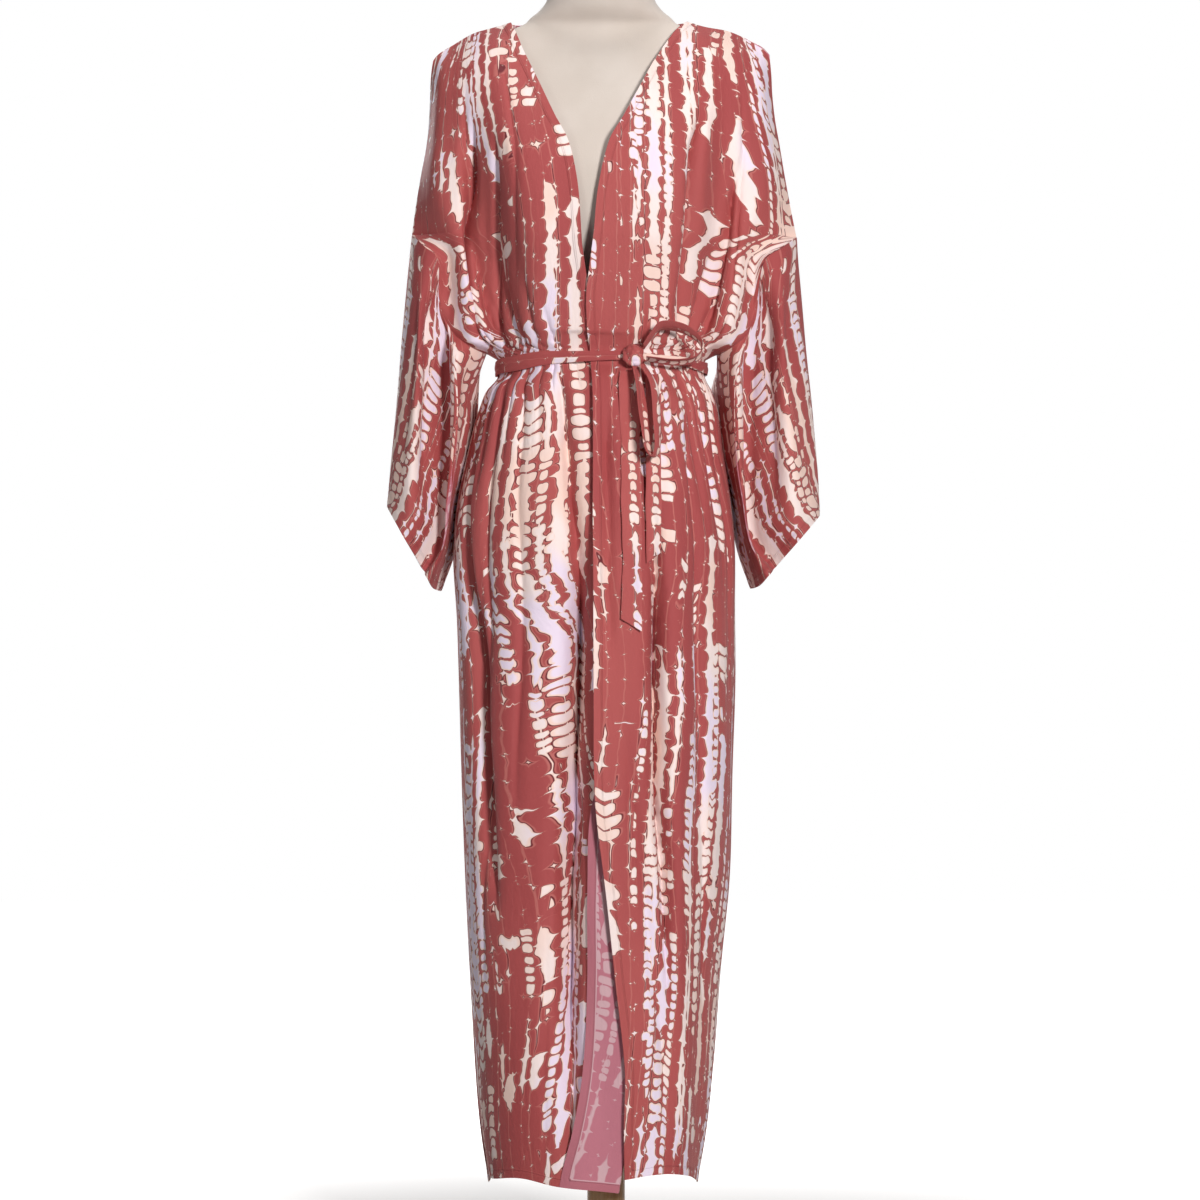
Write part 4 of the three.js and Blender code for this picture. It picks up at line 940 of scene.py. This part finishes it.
class Graph:
    """Builds one material's nodes."""

    def __init__(self, name, roughness, **constants):
        self.material = bpy.data.materials.new(name)
        self.material.use_nodes = True
        self.tree = self.material.node_tree
        self.shader = self.tree.nodes["Principled BSDF"]
        self.shader.inputs["Roughness"].default_value = roughness
        for key, value in constants.items():
            self.shader.inputs[key.replace("_", " ")].default_value = value

    def put(self, socket, value):
        value = value.socket if isinstance(value, Value) else value
        if isinstance(value, bpy.types.NodeSocket):
            self.tree.links.new(value, socket)
        else:
            socket.default_value = value

    def add(self, kind, inputs, output=0, **settings):
        node = self.tree.nodes.new("ShaderNode" + kind)
        for key, value in settings.items():
            setattr(node, key, value)
        for key, value in inputs.items():
            self.put(node.inputs[key], value)
        return node.outputs[output]

    def millimetres(self, vector, count):
        """The first coordinates of a vector."""
        split = self.add("SeparateXYZ", {0: vector}).node
        return [Value(self, split.outputs[i]) * 1000 for i in range(count)]

    def uv(self, name):
        return self.millimetres(self.add("UVMap", {}, uv_map=name), 2)

    def place(self):
        return self.millimetres(self.add("TexCoord", {}, output="Object"), 3)

    def point(self, x, y=0.0, z=0.0):
        return self.add("CombineXYZ", {"X": x, "Y": y, "Z": z})

    def noise(self, x, y=0.0, z=0.0, detail=0.0, roughness=0.5):
        """Soft noise about 0, mostly within 0.3 of it; each coordinate is in lumps."""
        inputs = {"Vector": self.point(x, y, z), "Scale": 1.0, "Detail": detail, "Roughness": roughness}
        return Value(self, self.add("TexNoise", inputs)) - 0.5

    def random(self, x, y=0.0):
        return Value(self, self.add("TexWhiteNoise", {"Vector": self.point(x, y)}))

    def blend(self, factor, a, b):
        node = self.tree.nodes.new("ShaderNodeMix")
        node.data_type = "RGBA"
        for index, value in ((0, factor), (6, a), (7, b)):
            self.put(node.inputs[index], value)
        return node.outputs[2]

    def ease(self, value, low, high, to_low=0.0, to_high=1.0):
        inputs = {"Value": value, "From Min": low, "From Max": high, "To Min": to_low, "To Max": to_high}
        return Value(self, self.add("MapRange", inputs, interpolation_type="SMOOTHSTEP"))

    def bump(self, height, distance, below=None):
        inputs = {"Height": height, "Distance": distance}
        if below:
            inputs["Normal"] = below
        return self.add("Bump", inputs)

    def finished(self, colour, normal):
        self.put(self.shader.inputs["Base Color"], colour)
        self.put(self.shader.inputs["Normal"], normal)
        return self.material


# The print's layers give millimetres inside a motif's edge, or less than 0 outside it


def motif_columns(g, u, v, step, half_width, thorn, thorn_step, cover, seed, beaded=True):
    """Columns of thorny streaks with pointed ends, which in places turn into chains of beads."""
    column = (u / step).floor()
    luck = g.random(column, seed)
    x = u - (column + 0.5) * step + (luck - 0.5) * (step * 0.4)
    edge = x.sign() * 0.4 + column * 5.3
    moved = v + luck * 90
    half = (luck * 0.9 + 0.5) * half_width

    swell = g.noise(moved / 140, column * 3.1, seed)
    spindle = g.noise(moved / 19, edge, seed, detail=1.0)
    ragged = g.noise(moved / thorn_step * 1.5, edge * 3, seed + 3, detail=1.0, roughness=0.35)
    spike = 1 - abs((moved / thorn_step * math.pi + luck * 9 + ragged * 3).sine())
    streak = (g.ease(swell, cover, cover + 0.1, -1.3, 0.75) + spindle * 2.1) * half
    streak = streak + (spike ** 6.0 * 1.7 + ragged * 0.9 - 0.2) * thorn - abs(x)
    if not beaded:
        return streak

    high = half * 0.5 + 9.5
    leaning = moved + g.noise(moved / 22, column * 7, seed) * 16
    leaning = leaning + abs(x) * (luck - 0.5) * 0.8 + x * (luck - 0.4) * 0.3
    bead = (leaning / high).floor()
    chance = g.random(bead, column + seed)
    half_wide = half * (chance * 0.7 + 0.6) + 1
    y = leaning - (bead + 0.5) * high
    inside = 1 - (abs(x) / half_wide) ** 3 - (abs(y) / (high * (0.34 + chance * 0.11))) ** 3
    shown = g.noise((bead + 0.5) * high / 140, column * 3.1, seed) * -1 - cover - 0.12 + (chance - 0.5) * 0.1
    return streak.most((inside * 2.2 + ragged * 0.7).least(shown * 400))


def loose_marks(g, u, v, step, cover, seed):
    """Small forked marks, like birds in flight."""
    inputs = {"Vector": g.point(u / step, v / step, seed), "Scale": 1.0, "Randomness": 0.9, "Exponent": 0.55}
    star = Value(g, g.add("TexVoronoi", inputs, output="Distance", distance="MINKOWSKI"))
    cell = g.add("TexVoronoi", inputs, output="Position", distance="MINKOWSKI")
    shown = Value(g, g.add("TexNoise", {"Vector": cell, "Scale": 0.7, "Detail": 0.0})) - 0.5 - cover
    return ((0.42 - star) * step * 0.2).least(shown * 400)


def streak_field(g, uv, seed):
    u, v = uv
    sway = g.noise(u / 230, v / 360, seed)
    shiver = g.noise(u / 17, v / 21, seed, detail=1.0)
    bare = g.noise(u / 75, v / 420, seed + 70) * 0.45 - 0.02
    u = u + sway * 95 + shiver * 4 + 500
    v = v + g.noise(u / 15, v / 15, seed + 5) * 6
    wide = motif_columns(g, u, v, PRINT_STEP, 8.5, 3.2, 25, bare, seed)
    narrow = motif_columns(g, u + 16, v, PRINT_STEP, 3.2, 2.6, 29, bare, seed + 20)
    threads = motif_columns(g, u + 8, v, PRINT_STEP / 2, 0.8, 1.9, 31, bare + 0.03, seed + 40, beaded=False)
    marks = loose_marks(g, u, v, 28, bare + 0.06, seed)
    return wide.most(narrow).most(threads).most(marks)


def print_colour(g, uv, seed, field):
    u, v = uv
    ground = g.blend(g.ease(g.noise(u / 110, v / 300, seed), -0.15, 0.15), GROUND, GROUND_DEEP)
    tint = g.noise(u / 70, v / 170, seed + 3)
    motif = g.blend(g.ease(tint, 0.0, 0.12), CREAM, LILAC)
    motif = g.blend(g.ease(tint, -0.08, -0.2), motif, PEACH)
    edge = g.blend(g.ease(field, 0.6, 1.6), PEACH, motif)
    halo = g.blend(g.ease(field, -2.4, -1.3), ground, HALO)
    outline = g.blend(g.ease(field, -1.0, -0.6), halo, OUTLINE)
    return g.blend(g.ease(field, -0.15, 0.15), outline, edge)


def weave_bump(g, uv):
    """Fine crinkle of light cloth, and its threads."""
    u, v = uv
    threads = g.bump((u * 9).sine() * (v * 9).sine(), 0.00006)
    return g.bump(g.noise(u / 6, v / 16, detail=3.0, roughness=0.6), 0.0009, threads)


def hem_bump(g, below):
    """A row of stitches, and the step where a turned hem ends."""
    along, depth = g.uv("Edge")
    dashes = g.ease(abs((along * (math.pi / 3)).sine()), 0.2, 0.5)
    groove = g.ease(abs(depth - (HEM_WIDTH - 1.5)), 0.9, 0.2) * dashes
    return g.bump(g.ease(depth, HEM_WIDTH + 0.5, HEM_WIDTH - 0.5) - groove * 0.7, 0.0006, below)


def print_material(name, seed, hemmed=True):
    g = Graph(name, 0.62, Sheen_Weight=0.05, Sheen_Roughness=0.45, Specular_IOR_Level=0.3)
    uv = g.uv("Cloth")
    colour = print_colour(g, uv, seed, streak_field(g, uv, seed))
    normal = weave_bump(g, uv)
    return g.finished(colour, hem_bump(g, normal) if hemmed else normal)


def reverse_material():
    """The reverse side: paler and mauve, with the print showing through faintly."""
    g = Graph("print_reverse", 0.66, Sheen_Weight=0.2, Sheen_Roughness=0.5, Specular_IOR_Level=0.25)
    uv = g.uv("Cloth")
    field = streak_field(g, uv, 0.0)
    shown = g.blend(g.ease(field, -0.8, 0.8), REVERSE, REVERSE_PALE)
    depth = g.uv("Edge")[1]
    turned = g.blend(g.ease(depth, HEM_WIDTH, HEM_WIDTH + 1), REVERSE_DEEP, shown)
    line = g.ease(abs(depth - HEM_WIDTH - 0.5), 0.9, 0.2)
    return g.finished(g.blend(line, turned, REVERSE_PALE), hem_bump(g, weave_bump(g, uv)))


def jersey_material():
    g = Graph("form_jersey", 0.85, Sheen_Weight=0.3, Sheen_Roughness=0.6, Specular_IOR_Level=0.2)
    x, y, z = g.place()
    mottle = g.ease(g.noise(x / 70, y / 70, z / 70, detail=3.0), -0.2, 0.2)
    knit = g.noise(x / 1.1, y / 1.1, z / 2, detail=2.0)
    return g.finished(g.blend(mottle, FORM_CREAM, FORM_DEEP), g.bump(knit, 0.00025))


def oak_material(name, along_z):
    g = Graph(name, 0.42, Coat_Weight=0.15, Coat_Roughness=0.3)
    x, y, z = g.place()
    along, across = (z, x) if along_z else (x, z)
    grain = g.noise(along / 250, across / 6.5, y / 6.5, detail=4.0, roughness=0.6)
    broad = g.noise(along / 600, across / 40, y / 40, detail=2.0)
    colour = g.blend(g.ease(grain * 0.6 + broad * 0.4, -0.12, 0.12), OAK, OAK_DARK)
    return g.finished(colour, g.bump(grain, 0.0002))


# Pieces


def place_piece(piece, node, slot):
    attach(piece, "root")
    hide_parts(node)


def hem_distance(grid, from_side=False, seam_top=None):
    """Per point: how far along the nearest turned edge, and how far in from it."""
    down = lengths(grid, 0)
    across = lengths(grid, 1)
    along, depth = across, down[-1:] - down
    if from_side:
        nearer = across < depth
        along, depth = np.where(nearer, down, along), np.where(nearer, across, depth)
    if seam_top is not None:
        nearer = (down < depth) & seam_top
        along, depth = np.where(nearer, across, along), np.where(nearer, down, depth)
    return pairs(along, depth)


def wall_thickness(edge):
    return CLOTH + 2 * HEM_EXTRA * (1 - smooth(HEM_WIDTH - 1, HEM_WIDTH + 2, edge[..., 1]))


def streak_uv(grid, start_x):
    """Flat-pattern coordinates: streaks run down the front and turn along the arm at the sides."""
    across = lengths(grid, 1)
    total = across[:, -1:]
    from_middle = across + start_x[:, None]
    from_arm = across - total + np.median(total + start_x[:, None])
    share = across / np.maximum(total, 1)
    u = mix(from_middle, from_arm, smooth(0.25, 0.85, share))
    return pairs(u, lengths(grid, 0))


def under_front(materials):
    net = front_net(-1, EDGE_UNDER, "under_x", FOLD_RIGHT, SEAM_RIGHT, SHOULDER_RIGHT)

    def sunk(down, across, grid):
        pressed = sink_below_lap(np.broadcast_to(down, grid.shape[:2]), grid[..., 0])
        return -sink(FOLDS_UNDER, down, across) - sink(CREASES_UNDER, down, across) - pressed

    down, flat, smooth_net, out = shaped(net, HEM_UNDER, SEAM_RIGHT, False, FRONT_COLUMNS, 1, sunk)
    grid = np.concatenate([flap(down, smooth_net, out), flat], axis=1)
    grid = trimmed(grid, top=SEAM_GAP, end=SEAM_GAP)
    edge = hem_distance(grid, from_side=True)
    uv = streak_uv(grid, np.abs(flat[:, 0, 0] - MIDDLE_X) * -np.sign(flat[:, 0, 0] - MIDDLE_X))
    piece = shell("kimono_front_under", grid, wall_thickness(edge), materials, 1, uv, edge)
    place_piece(piece, "front_right_under", "front_under_cloth")


def over_front(materials):
    net = front_net(1, EDGE_OVER, "over_x", FOLD_LEFT, SEAM_LEFT, SHOULDER_LEFT)

    def sunk(down, across, grid):
        stand_off = over_lap(grid[..., 0], grid[..., 2])
        return stand_off - sink(FOLDS_OVER, down, across) - sink(CREASES_OVER, down, across)

    down, grid, _, _ = shaped(net, HEM_OVER, SEAM_LEFT, False, FRONT_COLUMNS, -1, sunk)
    grid = trimmed(grid, top=SEAM_GAP, end=SEAM_GAP)
    edge = hem_distance(grid, from_side=True)
    uv = streak_uv(grid, grid[:, 0, 0] - MIDDLE_X) + OVER_FRONT_PRINT_FROM
    piece = shell("kimono_front_over", grid, wall_thickness(edge), materials, -1, uv, edge)
    place_piece(piece, "front_left_over", "front_over_cloth")


def back(materials):
    def sunk(down, across, grid):
        return -sink(FOLDS_BACK, down, across) - sink(CREASES_BACK, down, across)

    down, grid, _, _ = shaped(back_net(), HEM_BACK, SEAM_RIGHT, True, BACK_COLUMNS, 1, sunk)
    grid = trimmed(grid, top=SEAM_GAP, start=SEAM_GAP, end=SEAM_GAP)
    at_neck = np.abs(grid[:1, :, 0] - MIDDLE_X) < 100
    edge = hem_distance(grid, seam_top=at_neck)
    middle = BACK_COLUMNS // 2
    right, left = grid[:, middle::-1], grid[:, middle:]
    zero = np.zeros(len(down))
    uv = np.concatenate([-streak_uv(right, zero)[:, :0:-1] * [1, -1], streak_uv(left, zero)], axis=1)
    piece = shell("kimono_back", grid, wall_thickness(edge), materials, 1, uv, edge)
    place_piece(piece, "back_panel", "back_cloth")


def sleeve(name, seam, rows, node, slot, materials, side):
    seam_places = points(seam["x"], seam["y"], seam["z"])
    ring_rounds = np.array([0, 0.12, 0.25, 0.38, 0.5, 0.63, 0.76, 0.88])
    rounds = np.arange(SLEEVE_COLUMNS) / SLEEVE_COLUMNS
    rings = [on_loop(seam["round"], seam_places, rounds)]
    for i in range(len(rows["along"])):
        row = row_of(rows, i)
        outer_x = mix(row["out_x"], row["crease_x"], 0.42)
        inner_x = mix(row["crease_x"], row["in_x"], 0.55)
        behind_hip = row["in_x"] - SLEEVE_BEHIND_HIP * np.sign(row["in_x"])
        before = [row["out_x"], outer_x, row["crease_x"], inner_x, row["in_x"]]
        x = np.array(before + [behind_hip, row["crease_x"], outer_x])
        deep = [0, -row["ridge"], -row["crease"], -row["inner"], 0]
        y = np.array(deep + [row["back_y"] * 0.8, row["back_y"] * 0.95, row["back_y"]])
        share = np.clip((x - row["out_x"]) / (row["in_x"] - row["out_x"]), 0, 1)
        rings.append(on_loop(ring_rounds, points(x, y, mix(row["out_z"], row["in_z"], share)), rounds))
    along = np.linspace(0, 1, SLEEVE_ROWS)
    grid = through(np.concatenate([[0], rows["along"]]), np.array(rings), along)
    out = side * normals(grid, True)
    grid = grid - out * sink(CREASES_SLEEVE, along[:, None], rounds[None, :])[..., None]
    grid = grid + out * (ripple(grid) * smooth(0, 0.15, along)[:, None])[..., None]
    grid = trimmed(grid, top=SEAM_GAP)
    closed = np.concatenate([grid, grid[:, :1]], axis=1)
    edge = hem_distance(closed)
    round_length = lengths(closed, 1)
    centred = round_length - round_length[:, -1:] / 2
    uv = pairs(centred, lengths(closed, 0))
    thickness = wall_thickness(edge)[:, :-1]
    piece = shell(name, grid, thickness, materials, side, uv, edge, wraps=True)
    place_piece(piece, node, slot)


def ribbon(name, rows, width, steps, materials, node, slant=0.0):
    """A flat tube of belt cloth along a smooth path, with a crease along it and soft uneven edges."""
    knots = np.linspace(0, 1, len(rows["x"]))
    at = np.linspace(0, 1, steps)
    centre = through(knots, points(rows["x"], rows["y"], rows["z"]), at)
    wide = unit(through(knots, points(rows["wide_x"], rows["wide_y"], rows["wide_z"]), at))
    face = unit(np.cross(wide, np.gradient(centre, axis=0)))
    shares = np.linspace(-0.5, 0.5, 15)
    length = lengths(centre[:, None], 0)[:, 0]
    breadth = width * (1 + 0.05 * np.sin(length / 19) + 0.03 * np.sin(length / 7.3))
    cup = 0.7 * np.cos(2 * math.pi * shares) + 0.35 * np.sin(length / 13)[:, None] * np.sin(5 * shares)
    grid = centre[:, None] + wide[:, None] * (breadth[:, None] * shares)[..., None]
    grid = grid + face[:, None] * cup[..., None]
    towards_end = smooth(length[-1] - 60, length[-1], length)
    grid[..., 2] += slant * towards_end[:, None] * shares
    uv = pairs(shares * width + 300, length[:, None])
    edge = pairs(length[:, None], NO_HEM + 0 * shares)
    round_edge = RIBBON_THICK * np.sqrt(np.clip(1 - (2 * np.abs(shares)) ** 8, 0.08, 1))
    piece = shell(name, grid, round_edge[None, :], materials, 1, uv, edge)
    place_piece(piece, node, "belt_cloth")


def front_y(x, z):
    """How far forward the over front's cloth reaches, before its folds sink it."""
    sizes = skirt_sizes(np.minimum(z, BELT_Z))
    place = oval(sizes, SKIRT_SQUARENESS, turn_at_x(sizes, x))
    return place[..., 1] - over_lap(x, z) - CLOTH / 2


def tail(name, rows, width, materials, node, slant):
    y = front_y(rows["x"], rows["z"]) - rows["off"]
    path = {**rows, "y": y, "wide_x": np.ones_like(y), "wide_z": np.zeros_like(y)}
    ribbon(name, path, width, 120, materials, node, slant)


def belt_band(materials):
    turn_degrees = np.arange(-180, 180, 1.5)
    turn = np.radians(turn_degrees)
    sizes = skirt_sizes(np.full_like(turn, BELT_Z))
    place = oval(sizes, SKIRT_SQUARENESS, turn)
    along = np.roll(place, -1, axis=0) - np.roll(place, 1, axis=0)
    out = unit(np.cross(along, [0, 0, 1.0]))
    lapped = np.where(np.cos(turn) > 0, smooth(-62, -22, place[:, 0]) * (1 - smooth(22, 62, place[:, 0])), 0)
    width = look_up(BELT_WIDTHS, "turn", "width", turn_degrees)
    shares = np.linspace(-0.5, 0.5, 11)
    clear = CLOTH / 2 + BELT_THICK / 2 + BELT_CLEAR + LAP * lapped
    fold_line = 0.7 * np.exp(-(((shares[:, None] - 0.18 * np.sin(3 * turn)[None, :]) / 0.13) ** 2))
    bulge = 0.9 * (1 - (2 * np.abs(shares[:, None])) ** 2) - fold_line
    grid = place[None] + out[None] * (clear[None, :] + bulge)[..., None]
    grid[..., 2] -= BELT_DIP * np.sin(turn)[None, :] ** 2 + shares[:, None] * width[None, :]
    grid[..., 2] += 0.5 * np.sin(9 * turn)[None, :]
    length = lengths(np.concatenate([place, place[:1]]), 0)
    uv = pairs(shares[:, None] * 20 + 120, length[None, :])
    edge = pairs(length[None, :], NO_HEM + 0 * shares[:, None])
    piece = shell("belt_round_waist", grid, BELT_THICK, materials, -1, uv, edge, wraps=True)
    place_piece(piece, "belt_band", "belt_cloth")


def ring_faces(rows, columns):
    """Faces that join rings of points to each other and close both ends."""
    index = np.arange(rows * columns).reshape(rows, columns)
    following = np.roll(index, -1, axis=1)
    quads = zip(index[:-1].ravel(), following[:-1].ravel(), following[1:].ravel(), index[1:].ravel())
    return [list(quad) for quad in quads] + [list(index[0][::-1]), list(index[-1])]


def knot(materials):
    """A lump of turned cloth: folds run round it and one turn crosses over the others."""
    tilt = np.linspace(-1.5, 1.5, 49)[:, None]
    turn = np.linspace(0, 2 * math.pi, 72, endpoint=False)[None, :]
    folds = 0.16 * np.abs(np.sin(2.5 * turn + 2.2 * tilt)) ** 0.6 - 0.12
    folds = folds + 0.1 * np.abs(np.sin(3.6 * tilt + np.sin(turn))) ** 0.6 - 0.07
    strap = 0.16 * np.exp(-((((turn - 1.5 * math.pi) - 0.25 * np.sin(2 * tilt)) / 0.42) ** 4))
    size = 0.9 - 0.1 * np.cos(3 * turn + 2 * tilt) + folds + strap
    flat = np.cos(tilt) ** 0.7 * size
    x = KNOT[0] + KNOT_HALF[0] * flat * np.cos(turn)
    y = KNOT[1] + KNOT_HALF[1] * np.minimum(flat, 1.12) * np.sin(turn)
    z = KNOT[2] + KNOT_HALF[2] * np.sin(tilt) * (1 + 0.4 * folds)
    grid = points(x, y, np.broadcast_to(z, x.shape))
    faces = ring_faces(*grid.shape[:2])
    verts = grid.reshape(-1, 3)
    corners = np.array([i for face in faces for i in face])
    uv = pairs(verts[corners, 0] * 0.8 + 500, verts[corners, 2] + verts[corners, 1])
    uvs = [("Cloth", uv), ("Edge", np.full_like(uv, NO_HEM))]
    place_piece(make_object("bow_knot", verts, faces, materials, uvs=uvs), "belt_knot", "belt_cloth")


def lofted(name, rings, materials, node, slot, sharp=50):
    faces = ring_faces(len(rings), len(rings[0]))
    piece = make_object(name, np.concatenate(rings), faces, materials, sharp=sharp)
    place_piece(piece, node, slot)


def form_rings(z):
    turn = np.linspace(0, 2 * math.pi, FORM_SIDES, endpoint=False)
    rings = []
    for level in z:
        row = {name: float(look_up(FORM, "z", name, level)) for name in FORM}
        half = row["half_width"]
        sizes = {**row, "z": np.full_like(turn, level), "left": half, "right": -half}
        rings.append(oval(sizes, row["square"], turn) + [MIDDLE_X, 0, 0])
    return rings


def dress_form(jersey, oak):
    levels = np.concatenate([
        np.linspace(FORM_BOTTOM_Z, 770, 12),
        np.arange(778, 1380, 8.0),
        np.arange(1380, NECK_TOP_Z, 3.0),
        [NECK_TOP_Z],
    ])
    lofted("dress_form_torso", form_rings(levels), [jersey], "form_torso", "form_cover")
    neck = form_rings([NECK_TOP_Z])[0]
    middle = np.array([MIDDLE_X, 0, 0])
    profile = [(0.3, 0.99), (0.8, 1.0), (2, 1.012), (4, 1.02), (6, 1.02), (8, 1.0)]
    profile += [(9.4, 0.97), (10.6, 0.93), (11.4, 0.88), (12, 0.8)]
    rings = [(neck - middle) * [k, k, 1] + middle + [0, 0, rise] for rise, k in profile]
    lofted("dress_form_neck_cap", rings, [oak], "form_neck_cap", "neck_cap_wood", sharp=60)


def turned(name, profile, materials, node, slot, sides=96):
    """A turned solid round the Z axis from a profile of radius and height."""
    turn = np.linspace(0, 2 * math.pi, sides, endpoint=False)
    rings = [points(r * np.cos(turn), r * np.sin(turn), z) for r, z in profile]
    lofted(name, rings, materials, node, slot, sharp=40)


def stand(oak_up, oak_flat):
    low, high = BASE_HEIGHT + 0.3, FORM_BOTTOM_Z - 0.3
    r = POLE_RADIUS
    pole = [(r + 3, low), (r + 3.6, low + 1), (r + 3.6, low + 7), (r + 2.4, low + 9), (r, low + 11)]
    pole += [(r - 0.4, low + 12), (r - 0.4, high - 12)]
    pole += [(r, high - 11), (r + 2, high - 9), (r + 2, high - 1), (r + 1, high)]
    turned("stand_pole_turned", pole, [oak_up], "stand_pole", "pole_wood")
    angles = np.linspace(0, math.pi / 2, 9)
    round_edge = [(BASE_RADIUS - 6 + 6 * math.cos(a), BASE_HEIGHT - 6 + 6 * math.sin(a)) for a in angles]
    base = [(BASE_RADIUS - 3, 0), (BASE_RADIUS - 1, 0.6), (BASE_RADIUS, 2), *round_edge, (60, BASE_HEIGHT)]
    turned("stand_base_turned", base, [oak_flat], "stand_base", "base_wood", sides=160)


# Stage


def floor():
    """A pale floor with a painted glow: its emission fades in from none near the stand to full white away
    from it.
    """
    g = Graph("floor_pale", 0.9, Base_Color=srgb(240, 239, 238))
    x, y, z = g.place()
    far = (x ** 2.0 + y ** 2.0) ** 0.5
    # painted glow: emission from none within 350 mm of the stand to white beyond 1500 mm
    g.put(g.shader.inputs["Emission Color"], g.blend(g.ease(far, 350, 1500), (0, 0, 0, 1), (1, 1, 1, 1)))
    g.shader.inputs["Emission Strength"].default_value = 1.0
    size = 6000
    verts = [(-size, -size, 0), (size, -size, 0), (size, size, 0), (-size, size, 0)]
    made = make_object("floor", verts, [[0, 1, 2, 3]], [g.material])
    made.visible_diffuse = False  # its white part would light the folds from below


def area_light(name, place, size, power):
    data = bpy.data.lights.new(name, "AREA")
    data.shape = "RECTANGLE"
    data.size = data.size_y = size
    data.energy = power
    made = bpy.data.objects.new(name, data)
    bpy.context.scene.collection.objects.link(made)
    made.location = Vector(place)
    made.rotation_mode = "QUATERNION"
    made.rotation_quaternion = (Vector((0, 0, 0.85)) - made.location).to_track_quat("-Z", "Y")


def lights():
    """Soft boxes in a studio that is white behind everything and lights it only a little."""
    world = bpy.data.worlds.new("studio")
    bpy.context.scene.world = world
    world.use_nodes = True
    nodes, links = world.node_tree.nodes, world.node_tree.links
    strength = nodes.new("ShaderNodeMapRange")
    strength.inputs["To Min"].default_value = 0.14
    links.new(nodes.new("ShaderNodeLightPath").outputs["Is Camera Ray"], strength.inputs["Value"])
    links.new(strength.outputs[0], nodes["Background"].inputs["Strength"])
    nodes["Background"].inputs["Color"].default_value = (1, 1, 1, 1)
    area_light("key", (1.4, -3.9, 1.8), 0.6, 152)
    area_light("fill", (-2.2, -3.2, 1.3), 1.2, 17)
    area_light("top", (0, 0.0, 3.4), 1.2, 22)
    area_light("back", (-1.2, 3.2, 2.2), 1.2, 85)
    bpy.context.scene.view_settings.view_transform = "Standard"


def camera():
    data = bpy.data.cameras.new("camera")
    data.lens = data.sensor_width * CAMERA_DISTANCE / (PHOTO_WIDTH * PHOTO_SCALE)
    made = bpy.data.objects.new("camera", data)
    bpy.context.scene.collection.objects.link(made)
    made.location = (PHOTO_MIDDLE[0] * MM, -CAMERA_DISTANCE * MM, PHOTO_MIDDLE[1] * MM)
    made.rotation_euler = (math.pi / 2, 0, 0)
    bpy.context.scene.camera = made


camera()
body_print = print_material("print_front", 0.0)
back_print = print_material("print_back", 31.0)
sleeve_print = print_material("print_sleeve", 57.0)
belt_print = print_material("print_belt", 83.0, hemmed=False)
plain_reverse = reverse_material()
jersey = jersey_material()
oak_up = oak_material("oak_along", True)
oak_flat = oak_material("oak_across", False)

dress_form(jersey, oak_flat)
stand(oak_up, oak_flat)
under_front([body_print, plain_reverse])
over_front([body_print, plain_reverse])
back([back_print, plain_reverse])
sleeve("kimono_sleeve_right", SEAM_RIGHT, SLEEVE_RIGHT, "sleeve_right", "sleeve_right_cloth",
       [sleeve_print, plain_reverse], -1)
sleeve("kimono_sleeve_left", SEAM_LEFT, SLEEVE_LEFT, "sleeve_left", "sleeve_left_cloth",
       [sleeve_print, plain_reverse], 1)
both_print = [belt_print, belt_print]
belt_band(both_print)
knot([belt_print])
ribbon("bow_upper", UPPER_LOOP, 20, 110, both_print, "bow_loop_upper")
ribbon("bow_hanging", HANGING_LOOP, 19, 120, both_print, "bow_loop_hanging")
tail("belt_end_long", TAIL_LONG, 22, both_print, "belt_tail_long", -14)
tail("belt_end_short", TAIL_SHORT, 17, both_print, "belt_tail_short", 12)
floor()
lights()
